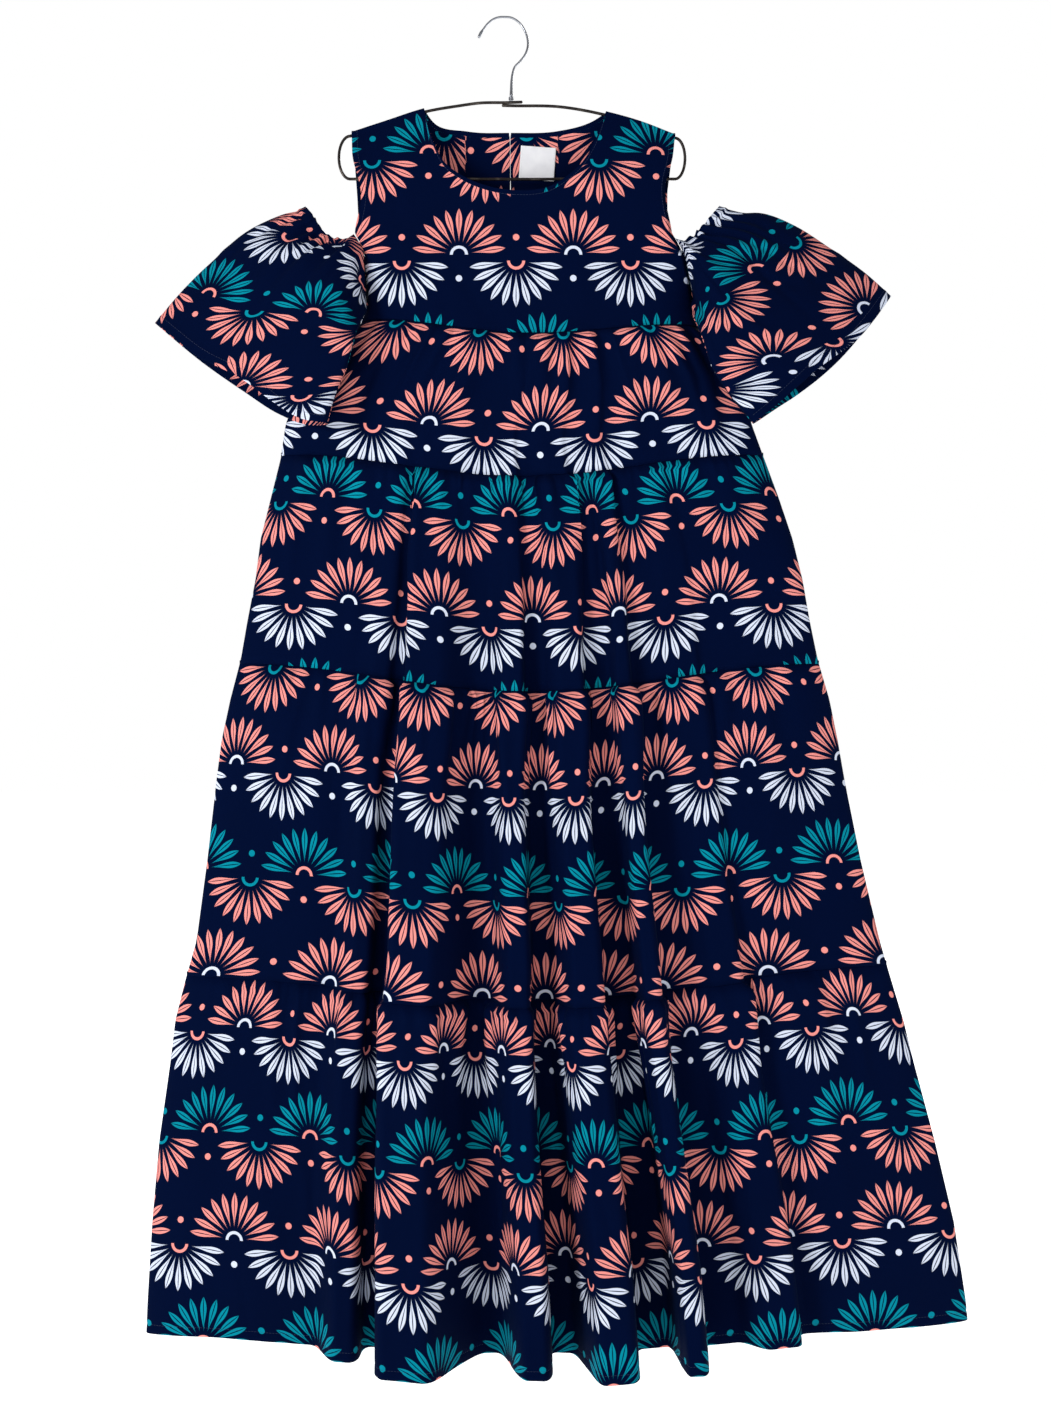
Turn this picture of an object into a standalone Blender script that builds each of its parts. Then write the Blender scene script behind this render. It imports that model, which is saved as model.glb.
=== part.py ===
# A sleeved dress in four gathered tiers, hung on a wire hanger.
# Metres, +Z up, the front towards -Y. The origin is the inside of the hook's crown.
# Tables are in millimetres; "across" values run from -1 at the left side seam to 1 at the right.

import math

import bpy
import numpy as np

MM = 0.001

WALL = 1.6 * MM                # cloth wall
SEAM = 0.3 * MM                # gap between pieces that are sewn together
RETURN = 3.0 * MM              # a sewn side turns this far towards its neighbour
SLIT = 2.4 * MM                # width of the slit in the back yoke
SLIT_FOOT = -280 * MM          # the slit's lower end

WIRE_RADIUS = 1.65 * MM
HOOK_RADIUS = 1.2 * MM
COLLAR_RADIUS = 3.0 * MM
SHOULDER_RISE = 4.0 * MM       # shoulder seam above the middle of the wire
GATHER_DROP = 15 * MM          # gathers are fullest this far under a seam
GATHER_FADE = 1.3              # how quickly they die away below that
GATHER_CREST = 0.65            # a gather's mean height, as a share of the tier's
GATHER_VARIES = 0.35           # and how far single ones differ from it
GATHER_PERIOD = 1.9            # radians from one gather's height to the next
SPACING_LEVEL = 0.8            # gathers are spaced by the cloth's run this far down a tier
SPACING_VARIES = 0.012         # how uneven the spacing is, as a share of the width
SPACING_PERIOD = 17
SIDE_ROUNDNESS = 6             # a higher power keeps the skirt flat further out to its sides
SIDE_TAPER = 8                 # the same for the gathers' height
LEAN_FADE = 0.6                # how a fold's lean grows with its depth
ARM_BULGE = 3                  # how closely the armhole's curve keeps to the yoke's edge


def table(columns, *rows):
    values = np.array(rows, float).T
    return dict(zip(columns.split(), values))


# The sides of the skirt, seen from the front.
OUTLINE = table(
    "height left right",
    (-354, -165.5, 219),
    (-384, -193, 243),
    (-418, -223, 268),
    (-453, -246, 281),
    (-470, -253, 284.5),
    (-511, -259, 299.5),
    (-557, -270.5, 316.5),
    (-603, -282, 332),
    (-650, -288, 343.5),
    (-696, -297, 351.5),
    (-742, -305, 361),
    (-788, -317, 374.5),
    (-835, -327, 384),
    (-881, -333, 392),
    (-973, -343.5, 410.5),
    (-1066, -356, 432.5),
    (-1112, -369, 446),
    (-1158, -380.5, 460),
    (-1205, -386, 471.5),
    (-1297, -399, 496),
    (-1390, -407, 518),
    (-1482, -412.5, 532),
    (-1520, -414, 535.5),
)

# Each tier hangs from one level to the next: 1 is the yoke seam and 5 is the hem.
# "fullness" is how far the cloth stands off the side seams' plane, folds apart.
LEVELS = table(
    "level left middle right fullness",
    (1, -353.7, -371.1, -359.5, 28),
    (2, -507.5, -533.5, -507.5, 24),
    (3, -746.8, -778.4, -746.8, 22),
    (4, -1106.0, -1131.0, -1093.3, 20),
    (5, -1517.8, -1532.9, -1503.0, 20),
)

# Large folds: where each starts and ends across the skirt, how far its sides lean over,
# and its depth at the levels.
FOLD_COLUMNS = "foot_left crest_left crest_right foot_right lean_left lean_right two three four five"
FRONT_FOLDS = table(
    FOLD_COLUMNS,
    (-0.60, -0.52, -0.495, -0.45, 0.2, 0.9, 2, 8, 22, 42),
    (-0.445, -0.40, -0.315, -0.17, 2.0, 0.0, 6, 30, 62, 86),
    (-0.15, -0.07, -0.035, 0.00, 0.2, 1.6, 6, 22, 48, 78),
    (0.03, 0.11, 0.165, 0.21, 0.1, 1.9, 6, 24, 52, 84),
    (0.265, 0.305, 0.33, 0.365, 0.3, 1.6, 4, 22, 46, 76),
    (0.43, 0.51, 0.56, 0.605, 0.0, 1.0, 1, 6, 18, 32),
)
BACK_FOLDS = table(
    FOLD_COLUMNS,
    (-0.86, -0.79, -0.75, -0.70, 0.4, 1.4, 0, 10, 20, 34),
    (-0.62, -0.55, -0.50, -0.455, 0.3, 1.6, 4, 16, 30, 48),
    (-0.38, -0.33, -0.27, -0.20, 1.6, 0.3, 5, 18, 34, 52),
    (-0.12, -0.06, 0.00, 0.045, 0.4, 1.7, 4, 16, 32, 50),
    (0.11, 0.15, 0.22, 0.29, 1.6, 0.4, 5, 18, 34, 54),
    (0.36, 0.43, 0.48, 0.53, 0.5, 1.5, 4, 16, 30, 48),
    (0.63, 0.69, 0.74, 0.81, 1.3, 0.4, 0, 10, 22, 36),
)

# Gathers in each half tier, how high they stand, what is left of them at the tier's foot,
# and the rows of the surface as shares of the tier's height.
TIERS = {
    "tier_1": dict(level=1, gathers=11, height=5 * MM, left_over=0.0, rows=(0, 0.1, 0.45, 1)),
    "tier_2": dict(level=2, gathers=15, height=7 * MM, left_over=0.0, rows=(0, 0.07, 0.45, 1)),
    "tier_3": dict(level=3, gathers=19, height=8 * MM, left_over=0.0, rows=(0, 0.05, 0.3, 0.65, 1)),
    "tier_4": dict(level=4, gathers=23, height=8 * MM, left_over=0.3, rows=(0, 0.05, 0.3, 0.65, 1)),
}

# The yoke's free edge at each arm, from the shoulder to the tier below it.
ARMHOLES = {
    -1: table(
        "height across",
        (-132, -177), (-200, -173), (-257, -171), (-276, -160), (-332, -158.4), (-353.7, -165.5),
    ),
    1: table(
        "height across",
        (-134, 196.5), (-195, 189.5), (-257, 190.7), (-282, 204.6), (-308.6, 211.5), (-359.5, 223.4),
    ),
}
ARMHOLE_CLOSES = {-1: (-262 * MM, -343 * MM), 1: (-262 * MM, -348 * MM)}
NECK_SHARE = 0.563             # the neck's share of the shoulder width
FRONT_NECK = table(
    "across height",
    (-93.6, -105), (-81, -151), (-68, -175), (-50, -189), (8, -207),
    (55, -201), (69, -192), (89, -173), (100, -155), (116.8, -108.5),
)
BACK_NECK = table(
    "across height",
    (-93.6, -105), (-82, -118.5), (-42, -126.5), (8, -128), (62, -126.5), (101, -117), (116.8, -108.5),
)
YOKE_DEPTH = 31 * MM           # half the yoke's thickness at its foot
YOKE_EASE = 75 * MM            # how gently it falls away from the wire
# The cloth turns over the wire: offset from the shoulder seam, and drop under it.
SHOULDER_TURN = table("offset drop", (SEAM / 2 / MM, 0), (1.6, 0), (3.6, 1.5), (4.2, 4.5))
NECK_POINT_OFFSETS = (1.2 * MM, 2.2 * MM, 3.6 * MM, 4.2 * MM)
NECK_EDGE_DROPS = (0, 1.5 * MM, 3 * MM, 5 * MM)
YOKE_ROWS = (0.14, 0.28, 0.42, 0.56, 0.65, 0.77, 0.9, 1)
SHOULDER_COLUMNS = 4
NECK_COLUMNS = 14
NECK_POINT_COLUMNS = (0.006, 0.018)    # close columns where the neck's edge leaves the wire

# Sleeve outlines as seen from the front: the gathered top edge from its outer point to the yoke,
# the outer fold, the underarm seam and the hem.
SLEEVE_EDGE = 0.58             # the gathered edge's share of the sleeve's top
SLEEVE_GATHERS = 4
SLEEVE_GATHER_HEIGHT = 3.5 * MM
SLEEVE_ROWS = (0, 0.08, 0.3, 0.65, 1)
SLEEVE_HALF_DEPTH = 22 * MM    # half the cuff's opening, front to back
SLEEVE_FORWARD = 62 * MM       # the underarm hangs this far in front of the skirt's side
SLEEVE_FORWARD_BY = 0.45       # and is there by this share of the way down
SLEEVE_CLEARANCE = 0.8 * MM
SLEEVE_TOP_ROW = 0.56          # the yoke's row where the sewn part of the armhole starts
ARMPIT_ROW = 0.9
SLEEVES = {
    "sleeve_left": dict(
        side=-1,
        edge=table("across height", (-231.5, -216.2), (-216.2, -235.8), (-202.3, -252.0),
                   (-185.0, -257.2), (-172.2, -258.4)),
        fold=table("across height", (-231.5, -216.2), (-261.3, -227.7), (-304.0, -250.9),
                   (-337.6, -279.8), (-372.2, -314.4), (-404.6, -352.6)),
        underarm=table("across height", (-159.5, -331.8), (-164.5, -343), (-168.5, -355),
                       (-170, -382), (-172, -407), (-188.4, -448.5), (-197.7, -480.4)),
        hem=table("across height", (-404.6, -352.6), (-350.3, -397.7), (-300.6, -433.5),
                  (-255.5, -463.6), (-223.1, -477.4), (-197.7, -480.4)),
    ),
    "sleeve_right": dict(
        side=1,
        edge=table("across height", (248.1, -218.0), (234.7, -231.2), (220.8, -243.9),
                   (206.9, -254.9), (192.5, -258.9)),
        fold=table("across height", (248.1, -218.0), (276.3, -222.6), (304.0, -226.6),
                   (334.1, -239.3), (374.5, -265.3), (415.0, -293.6), (446.2, -321.4)),
        underarm=table("across height", (217.4, -337), (222.5, -352), (225, -372),
                       (226, -395), (232, -416), (249, -445), (277.9, -480.0)),
        hem=table("across height", (446.2, -321.4), (420.0, -356.4), (383.0, -398.9),
                  (338.2, -437.1), (305.1, -460.2), (277.9, -480.0)),
    ),
}

# The hanger's wire: the two halves of its bow, whose ends pass each other at the collar.
BOW_LEFT = table("across height", (-179, -136.5), (-135, -122), (-93.6, -108.7), (-52, -101.3),
                 (-30, -98.3), (2.3, -97.7), (20.5, -97.1))
BOW_RIGHT = table("across height", (-3.8, -102), (8, -102.6), (63, -102.6), (116.8, -112.2),
                  (156, -123.1), (196.5, -138.7))
BOW_ENDS = 20 * MM             # the bow's ends bend up to the collar this far from the middle
BAR_HEIGHT = -186.1 * MM
LOOP_REACH = {-1: 13 * MM, 1: 11.6 * MM}
LOOP_POINTS = 9
# The hook from its tip to its foot; "swell" thickens the capped tip.
HOOK = table(
    "across height swell",
    (-30.4, -23.1, 1.5), (-28.0, -17.6, 1.5), (-25.0, -13.0, 1), (-20.0, -6.6, 1), (-14.0, -1.7, 1),
    (-7.5, 0.8, 1), (0, 1.2, 1), (7.4, 0.4, 1), (13.0, -2.5, 1), (18.5, -7.5, 1), (23.0, -15.0, 1),
    (26.0, -24.0, 1), (26.3, -33.0, 1), (22.8, -43.0, 1), (17.0, -50.5, 1), (11.0, -57.0, 1),
    (9.0, -63.0, 1), (7.8, -71.0, 1), (7.4, -84.0, 1), (7.2, -91.2, 1),
)
COLLAR_TOP = -91.5 * MM
COLLAR_FOOT = -95.2 * MM

LABEL_MIDDLE = (37.6 * MM, -162.3 * MM)
LABEL_SIZE = (41 * MM, 37 * MM)
LABEL_TURN = math.radians(-4)
LABEL_WALL = 1.0 * MM
LABEL_LIFT = 0.9 * MM

MATERIALS = {
    "cloth": dict(colour=(0.008, 0.03, 0.12, 1), roughness=0.85, metallic=0),
    "label": dict(colour=(0.8, 0.8, 0.8, 1), roughness=0.7, metallic=0),
    "wire": dict(colour=(0.12, 0.11, 0.10, 1), roughness=0.4, metallic=1),
    "bright": dict(colour=(0.6, 0.6, 0.6, 1), roughness=0.25, metallic=1),
}


def smooth_step(t):
    t = np.clip(t, 0, 1)
    return t * t * (3 - 2 * t)


def curve_through(points, share):
    # A smooth curve through a table's points; share runs from 0 to 1 along its length.
    knots = np.stack([points["across"], points["height"]], axis=1) * MM
    spans = np.linalg.norm(np.diff(knots, axis=0), axis=1)
    along = np.concatenate([[0], np.cumsum(spans)])
    slopes = np.gradient(knots, along, axis=0)
    place = np.clip(share, 0, 1) * along[-1]
    i = np.clip(np.searchsorted(along, place, side="right") - 1, 0, len(spans) - 1)
    step = spans[i]
    t = ((place - along[i]) / step)[..., None]
    start = knots[i]
    end = knots[i + 1]
    run = step[..., None]
    return (
        (2 * t**3 - 3 * t**2 + 1) * start
        + (t**3 - 2 * t**2 + t) * run * slopes[i]
        + (3 * t**2 - 2 * t**3) * end
        + (t**3 - t**2) * run * slopes[i + 1]
    )


def at_level(column, level):
    return np.interp(level, LEVELS["level"], LEVELS[column]) * MM


def side_place(side, level):
    # The side seam's distance across at a level.
    name = "left" if side < 0 else "right"
    height = at_level(name, level) / MM
    return np.interp(-height, -OUTLINE["height"], OUTLINE[name]) * MM


def skirt_height(across, level):
    # Seams droop in the middle, where the cloth hangs in folds.
    middle = at_level("middle", level)
    side = np.where(across < 0, at_level("left", level), at_level("right", level))
    return middle + (side - middle) * np.sin(math.pi * across / 2) ** 2


def side_rounding(across):
    return np.sqrt(np.clip(1 - np.abs(across) ** SIDE_ROUNDNESS, 0, 1))


def skirt_section(folds, across, level):
    # Distance across and distance off the side seams' plane, round half the skirt.
    left = side_place(-1, level)
    right = side_place(1, level)
    off = RETURN + at_level("fullness", level) * side_rounding(across)
    shift = np.zeros_like(across)
    for i in range(len(folds["foot_left"])):
        fold = {name: column[i] for name, column in folds.items()}
        depths = (0, fold["two"], fold["three"], fold["four"], fold["five"])
        depth = np.interp(level, LEVELS["level"], depths) * MM
        rise = np.clip((across - fold["foot_left"]) / (fold["crest_left"] - fold["foot_left"]), 0, 1)
        fall = np.clip((across - fold["crest_right"]) / (fold["foot_right"] - fold["crest_right"]), 0, 1)
        off = off + depth * (1 - np.cos(math.pi * rise)) / 2 * (1 + np.cos(math.pi * fall)) / 2
        lean = (depth / MM / fold["five"]) ** LEAN_FADE / (2 * math.pi)
        shift = shift + lean * fold["lean_left"] * (fold["crest_left"] - fold["foot_left"]) * np.sin(
            2 * math.pi * rise
        )
        shift = shift + lean * fold["lean_right"] * (fold["foot_right"] - fold["crest_right"]) * np.sin(
            2 * math.pi * fall
        )
    return (left + right) / 2 + (right - left) / 2 * (across + shift), off


def even_columns(folds, tier):
    # Columns about as far apart as the cloth is long between them, four to a gather.
    fine = np.linspace(-1, 1, 1601)
    x, off = skirt_section(folds, fine, tier["level"] + SPACING_LEVEL)
    length = np.concatenate([[0], np.cumsum(np.hypot(np.diff(x), np.diff(off)))])
    share = np.linspace(0, 1, 4 * tier["gathers"] + 1)
    wander = np.sin(SPACING_PERIOD * share + tier["level"]) * np.sin(math.pi * share)
    uneven = share + SPACING_VARIES * wander
    return np.interp(uneven, length / length[-1], fine)


def gather_heights(count, seed):
    # Heights of the columns of a row of gathers: nothing at each trough, and uneven crests.
    step = np.arange(4 * count + 1)
    crest = GATHER_CREST + GATHER_VARIES * np.sin(GATHER_PERIOD * (step // 4) + seed)
    return crest * (1 - np.cos(math.pi * step / 2)) / 2


def new_material(name, colour, roughness, metallic):
    material = bpy.data.materials.new(name)
    material.use_nodes = True
    shader = material.node_tree.nodes["Principled BSDF"]
    shader.inputs["Base Color"].default_value = colour
    shader.inputs["Roughness"].default_value = roughness
    shader.inputs["Metallic"].default_value = metallic
    return material


def add_piece(name, data, finish, collection, holder):
    piece = bpy.data.objects.new(name, data)
    data.materials.append(new_material(name, **MATERIALS[finish]))
    piece.parent = holder
    collection.objects.link(piece)
    return piece


def add_cloth(name, points, towards_front, collection, holder, finish="cloth", wall=WALL):
    # A wall of cloth behind a grid of outer points, rows from the top down.
    rows, columns = points.shape[:2]
    corner = (np.arange(rows - 1)[:, None] * columns + np.arange(columns - 1)).ravel()
    quads = np.stack([corner, corner + columns, corner + columns + 1, corner + 1], axis=1)
    if not towards_front:
        quads = quads[:, ::-1]
    mesh = bpy.data.meshes.new(name)
    mesh.from_pydata(points.reshape(-1, 3).tolist(), [], quads.tolist())
    mesh.shade_smooth()
    piece = add_piece(name, mesh, finish, collection, holder)
    wall_maker = piece.modifiers.new("wall", "SOLIDIFY")
    wall_maker.thickness = wall
    wall_maker.offset = -1
    return piece


def tier_points(tier, folds, facing):
    across = even_columns(folds, tier)
    gathers = gather_heights(tier["gathers"], tier["level"] + facing)
    taper = 1 - np.abs(across) ** SIDE_TAPER
    tall = at_level("middle", tier["level"]) - at_level("middle", tier["level"] + 1)
    rows = []
    for share in tier["rows"]:
        x, off = skirt_section(folds, across, tier["level"] + share)
        rise = min(1, share * tall / GATHER_DROP)
        fade = tier["left_over"] + (1 - tier["left_over"]) * (1 - share) ** GATHER_FADE
        off = off + tier["height"] * rise * fade * gathers * taper
        z = skirt_height(across, tier["level"] + share)
        if share == 0:
            z = z - SEAM / 2
        if share == 1 and tier["level"] < 4:
            z = z + SEAM / 2
        # Each side ends in a short turn towards the other half.
        x = np.concatenate([x[:1], x, x[-1:]])
        z = np.concatenate([z[:1], z, z[-1:]])
        off = np.concatenate([[SEAM / 2], off, [SEAM / 2]])
        rows.append(np.stack([x, facing * off, z], axis=1))
    return np.array(rows)


def shoulder_height(x):
    # The height of the shoulder seam, and of the line it would follow across the neck.
    share = np.linspace(0, 1, 40)
    left = curve_through(BOW_LEFT, share)
    right = curve_through(BOW_RIGHT, share)
    line = np.vstack([left[left[:, 0] < -BOW_ENDS], right[right[:, 0] > BOW_ENDS]])
    return np.interp(x, line[:, 0], line[:, 1]) + SHOULDER_RISE


def armhole_place(side, height):
    arm = ARMHOLES[side]
    return np.interp(-height, -arm["height"] * MM, arm["across"] * MM)


def armhole_closing(side, height):
    # 0 where the armhole is open, 1 where the side is sewn up.
    top, foot = ARMHOLE_CLOSES[side]
    return smooth_step((top - height) / (top - foot))


def yoke_off(x, height, foot_height):
    # How far the yoke stands off the hanger's plane, where its sides are open.
    turn = SHOULDER_TURN["drop"][-1] * MM
    below = shoulder_height(x) - height
    start = np.interp(below, SHOULDER_TURN["drop"][1:] * MM, SHOULDER_TURN["offset"][1:] * MM)
    whole = shoulder_height(x) - foot_height
    share = 1 - np.exp(-np.clip(below - turn, 0, None) / YOKE_EASE)
    share = share / (1 - np.exp(-(whole - turn) / YOKE_EASE))
    return start + (YOKE_DEPTH - start) * share


def yoke_top(neck, across):
    # The yoke's upper edge: along the shoulders, and round the neck between them.
    x_left = armhole_place(-1, ARMHOLES[-1]["height"][0] * MM)
    x_right = armhole_place(1, ARMHOLES[1]["height"][0] * MM)
    neck_left = neck["across"][0] * MM
    neck_right = neck["across"][-1] * MM
    x = np.interp(across, [-1, -NECK_SHARE, NECK_SHARE, 1], [x_left, neck_left, neck_right, x_right])
    inner = np.clip(x, x_left + RETURN, x_right - RETURN)
    edge = np.stack([x, shoulder_height(inner)], axis=1)
    inside = np.abs(across) < NECK_SHARE - 1e-6
    edge[inside] = curve_through(neck, (across[inside] + NECK_SHARE) / (2 * NECK_SHARE))
    return edge, inside


def yoke_points(neck, across, facing):
    top, in_neck = yoke_top(neck, across)
    foot_x, foot_off = skirt_section(FRONT_FOLDS, across, 1)
    foot_z = skirt_height(across, 1) + SEAM / 2
    side = np.where(across < 0, -1, 1)
    foot_corner = {-1: (side_place(-1, 1), at_level("left", 1)), 1: (side_place(1, 1), at_level("right", 1))}
    whole_edge, _ = yoke_top(neck, np.array([-1.0, 1.0]))
    top_corner = {-1: whole_edge[0], 1: whole_edge[1]}
    turned = RETURN - SEAM / 2
    rows = []
    turn = zip(SHOULDER_TURN["offset"] * MM, SHOULDER_TURN["drop"] * MM, NECK_POINT_OFFSETS, NECK_EDGE_DROPS)
    at_neck_point = np.abs(np.abs(across) - NECK_SHARE) < 1e-6
    for offset, drop, neck_point_offset, neck_drop in turn:
        z = top[:, 1] - np.where(in_neck, neck_drop, drop)
        off = np.where(in_neck, yoke_off(top[:, 0], z, foot_z), offset)
        off = np.where(at_neck_point, neck_point_offset, off)
        rows.append(yoke_row(top[:, 0], off, z, across, facing, 0, turned))
    for share in YOKE_ROWS:
        x = (1 - share) * top[:, 0] + share * foot_x
        z = (1 - share) * top[:, 1] + share * foot_z
        closing = np.zeros_like(x)
        for s in (-1, 1):
            corner_z = (1 - share) * top_corner[s][1] + share * foot_corner[s][1]
            straight = (1 - share) * top_corner[s][0] + share * foot_corner[s][0]
            bulge = armhole_place(s, corner_z) - straight
            close = armhole_closing(s, corner_z)
            x = x + np.where(side == s, bulge * np.abs(across) ** ARM_BULGE, 0)
            closing = np.where(side == s, close, closing)
        open_off = yoke_off(x, z, foot_z)
        sewn_off = RETURN + (open_off - RETURN) * side_rounding(across)
        off = foot_off if share == 1 else (1 - closing) * open_off + closing * sewn_off
        rows.append(yoke_row(x, off, z, across, facing, closing, turned))
    return np.array(rows)


def yoke_row(x, off, z, across, facing, closing, turned):
    # One row with its side turns: flat outwards at the open armhole, inwards where it is sewn.
    angle = np.broadcast_to(closing, x.shape) * math.pi / 2
    ends = [i for i in (0, len(x) - 1) if abs(across[i]) == 1]
    x = x.copy()
    parts = {}
    for i in ends:
        side = np.sign(across[i])
        outer = x[i]
        x[i] = outer - side * turned * math.cos(angle[i])
        parts[i] = (outer, facing * (off[i] - turned * math.sin(angle[i])), z[i])
    row = np.stack([x, facing * off, z], axis=1)
    if 0 in parts:
        row = np.vstack([parts[0], row])
    if len(x) - 1 in parts:
        row = np.vstack([row, parts[len(x) - 1]])
    return row


def yoke_columns():
    shoulder = np.linspace(-1, -NECK_SHARE, SHOULDER_COLUMNS + 1)
    even = np.linspace(0, 1, NECK_COLUMNS + 1)
    close = np.array(NECK_POINT_COLUMNS)
    neck = np.concatenate([even[:1], close, even[1:-1], 1 - close[::-1], even[-1:]])
    return np.concatenate([shoulder[:-1], NECK_SHARE * (2 * neck - 1), -shoulder[:-1][::-1]])


def back_yoke_points(side):
    across = yoke_columns()
    half = across[across <= 1e-9] if side < 0 else across[across >= -1e-9]
    points = yoke_points(BACK_NECK, half, 1)
    # The middle edges stand apart at the slit and meet below it.
    middle = -1 if side < 0 else 0
    gap = np.where(points[:, middle, 2] > SLIT_FOOT, SLIT, SEAM) / 2
    points[:, middle, 0] += side * gap
    return points


def yoke_rim(sleeve):
    # The yoke's armhole edge where the sleeve is sewn to it: distance across, off and height.
    front = yoke_points(FRONT_NECK, yoke_columns(), -1)
    main = 1 if sleeve["side"] < 0 else -2
    outer = 0 if sleeve["side"] < 0 else -1
    first = len(NECK_EDGE_DROPS) + YOKE_ROWS.index(SLEEVE_TOP_ROW)
    last = len(NECK_EDGE_DROPS) + YOKE_ROWS.index(ARMPIT_ROW)
    rim = front[first : last + 1]
    across = rim[:, outer, 0] + sleeve["side"] * SLEEVE_CLEARANCE
    return np.stack([across, -rim[:, main, 1], rim[:, main, 2]], axis=1)


def sleeve_outline(sleeve):
    # Across, height and half depth along the sleeve's top: its free edge, then the yoke's rim.
    rim = yoke_rim(sleeve)
    free = np.linspace(0, SLEEVE_EDGE, 4 * SLEEVE_GATHERS + 1)
    share = free / SLEEVE_EDGE
    edge = curve_through(sleeve["edge"], share)
    edge = edge + (rim[0, [0, 2]] - edge[-1]) * share[:, None]
    rounded = rim[0, 1] * np.sqrt(1 - (1 - share) ** 2)
    sewn = np.linspace(SLEEVE_EDGE, 1, len(rim))[1:]
    top = np.vstack([edge, rim[1:, [0, 2]]])
    return np.concatenate([free, sewn]), top, np.concatenate([rounded, rim[1:, 1]])


def sleeve_points(sleeve):
    u, top, top_depth = sleeve_outline(sleeve)
    gathers = np.zeros(len(u))
    gathers[: 4 * SLEEVE_GATHERS + 1] = gather_heights(SLEEVE_GATHERS, sleeve["side"])
    hem = curve_through(sleeve["hem"], u)
    hem_depth = RETURN * u + SLEEVE_HALF_DEPTH * np.sqrt(np.clip(1 - (2 * u - 1) ** 2, 0, 1))
    armpit_gap = top[-1] - curve_through(sleeve["underarm"], np.array([0.0]))[0]
    outer_gap = top[0] - curve_through(sleeve["fold"], np.array([0.0]))[0]
    rows = []
    for v in SLEEVE_ROWS:
        fold = curve_through(sleeve["fold"], np.array([v]))[0] + (1 - v) * outer_gap
        underarm = curve_through(sleeve["underarm"], np.array([v]))[0] + (1 - v) * armpit_gap
        w = u[:, None]
        flat = (1 - v) * top + v * hem + (1 - w) * fold + w * underarm
        flat = flat - (1 - v) * ((1 - w) * top[0] + w * top[-1]) - v * ((1 - w) * hem[0] + w * hem[-1])
        middle = -SLEEVE_FORWARD * u * smooth_step(v / SLEEVE_FORWARD_BY)
        half = (1 - v) ** 2 * top_depth + (1 - (1 - v) ** 2) * hem_depth
        rise = min(1, v / SLEEVE_ROWS[1]) * (1 - v)
        half = half + SLEEVE_GATHER_HEIGHT * rise * gathers
        front = np.stack([flat[:, 0], middle - half, flat[:, 1]], axis=1)
        back = np.stack([flat[:, 0], middle + half, flat[:, 1]], axis=1)
        turn = np.array([flat[-1, 0], middle[-1], flat[-1, 1]])
        near = turn - (0, SEAM / 2, 0)
        far = turn + (0, SEAM / 2, 0)
        rows.append(np.vstack([near, front[::-1], back[1:], far]))
    return np.array(rows)


def label_points():
    # The label lies on the inner face of the back yoke.
    across, down = np.meshgrid(np.linspace(-0.5, 0.5, 5), np.linspace(0.5, -0.5, 5))
    flat_x = across * LABEL_SIZE[0]
    flat_z = down * LABEL_SIZE[1]
    x = LABEL_MIDDLE[0] + flat_x * math.cos(LABEL_TURN) - flat_z * math.sin(LABEL_TURN)
    z = LABEL_MIDDLE[1] + flat_x * math.sin(LABEL_TURN) + flat_z * math.cos(LABEL_TURN)
    y = yoke_off(x, z, at_level("middle", 1)) - WALL - LABEL_LIFT - LABEL_WALL
    return np.stack([x, y, z], axis=2)


def add_wire(name, points, radius, swells, finish, collection, holder):
    curve = bpy.data.curves.new(name, "CURVE")
    curve.dimensions = "3D"
    curve.bevel_depth = radius
    curve.bevel_resolution = 2
    curve.use_fill_caps = True
    spline = curve.splines.new("POLY")
    spline.points.add(len(points) - 1)
    for point, place, swell in zip(spline.points, points, swells):
        point.co = (place[0], 0, place[1], 1)
        point.radius = swell
    return add_piece(name, curve, finish, collection, holder)


def hanger_route():
    # One wire: from its right-hand end over the right shoulder, back along the bar,
    # and over the left shoulder.
    right = curve_through(BOW_RIGHT, np.linspace(0, 1, 14))
    left = curve_through(BOW_LEFT, np.linspace(0, 1, 14))
    loops = {}
    for side, shoulder in ((-1, left[0]), (1, right[-1])):
        turn = np.linspace(0, math.pi, LOOP_POINTS + 2)[1:-1]
        half_height = (shoulder[1] - BAR_HEIGHT) / 2
        x = shoulder[0] + side * LOOP_REACH[side] * np.sin(turn)
        z = BAR_HEIGHT + half_height * (1 + np.cos(turn))
        foot = [(shoulder[0], BAR_HEIGHT)]
        loops[side] = np.vstack([np.stack([x, z], axis=1), foot])
    return np.vstack([right, loops[1], loops[-1][::-1], left])


def add_collar(collection, holder):
    height = COLLAR_TOP - COLLAR_FOOT
    x = HOOK["across"][-1] * MM
    bpy.ops.mesh.primitive_cylinder_add(
        vertices=16, radius=COLLAR_RADIUS, depth=height, location=(x, 0, COLLAR_FOOT + height / 2)
    )
    collar = bpy.context.object
    collar.name = "hanger_collar"
    collar.data.name = "hanger_collar"
    collar.data.materials.append(new_material("hanger_collar", **MATERIALS["bright"]))
    collar.data.shade_smooth()
    collar.data.set_sharp_from_angle(angle=math.radians(40))
    for owner in collar.users_collection:
        owner.objects.unlink(collar)
    collection.objects.link(collar)
    collar.parent = holder


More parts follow.
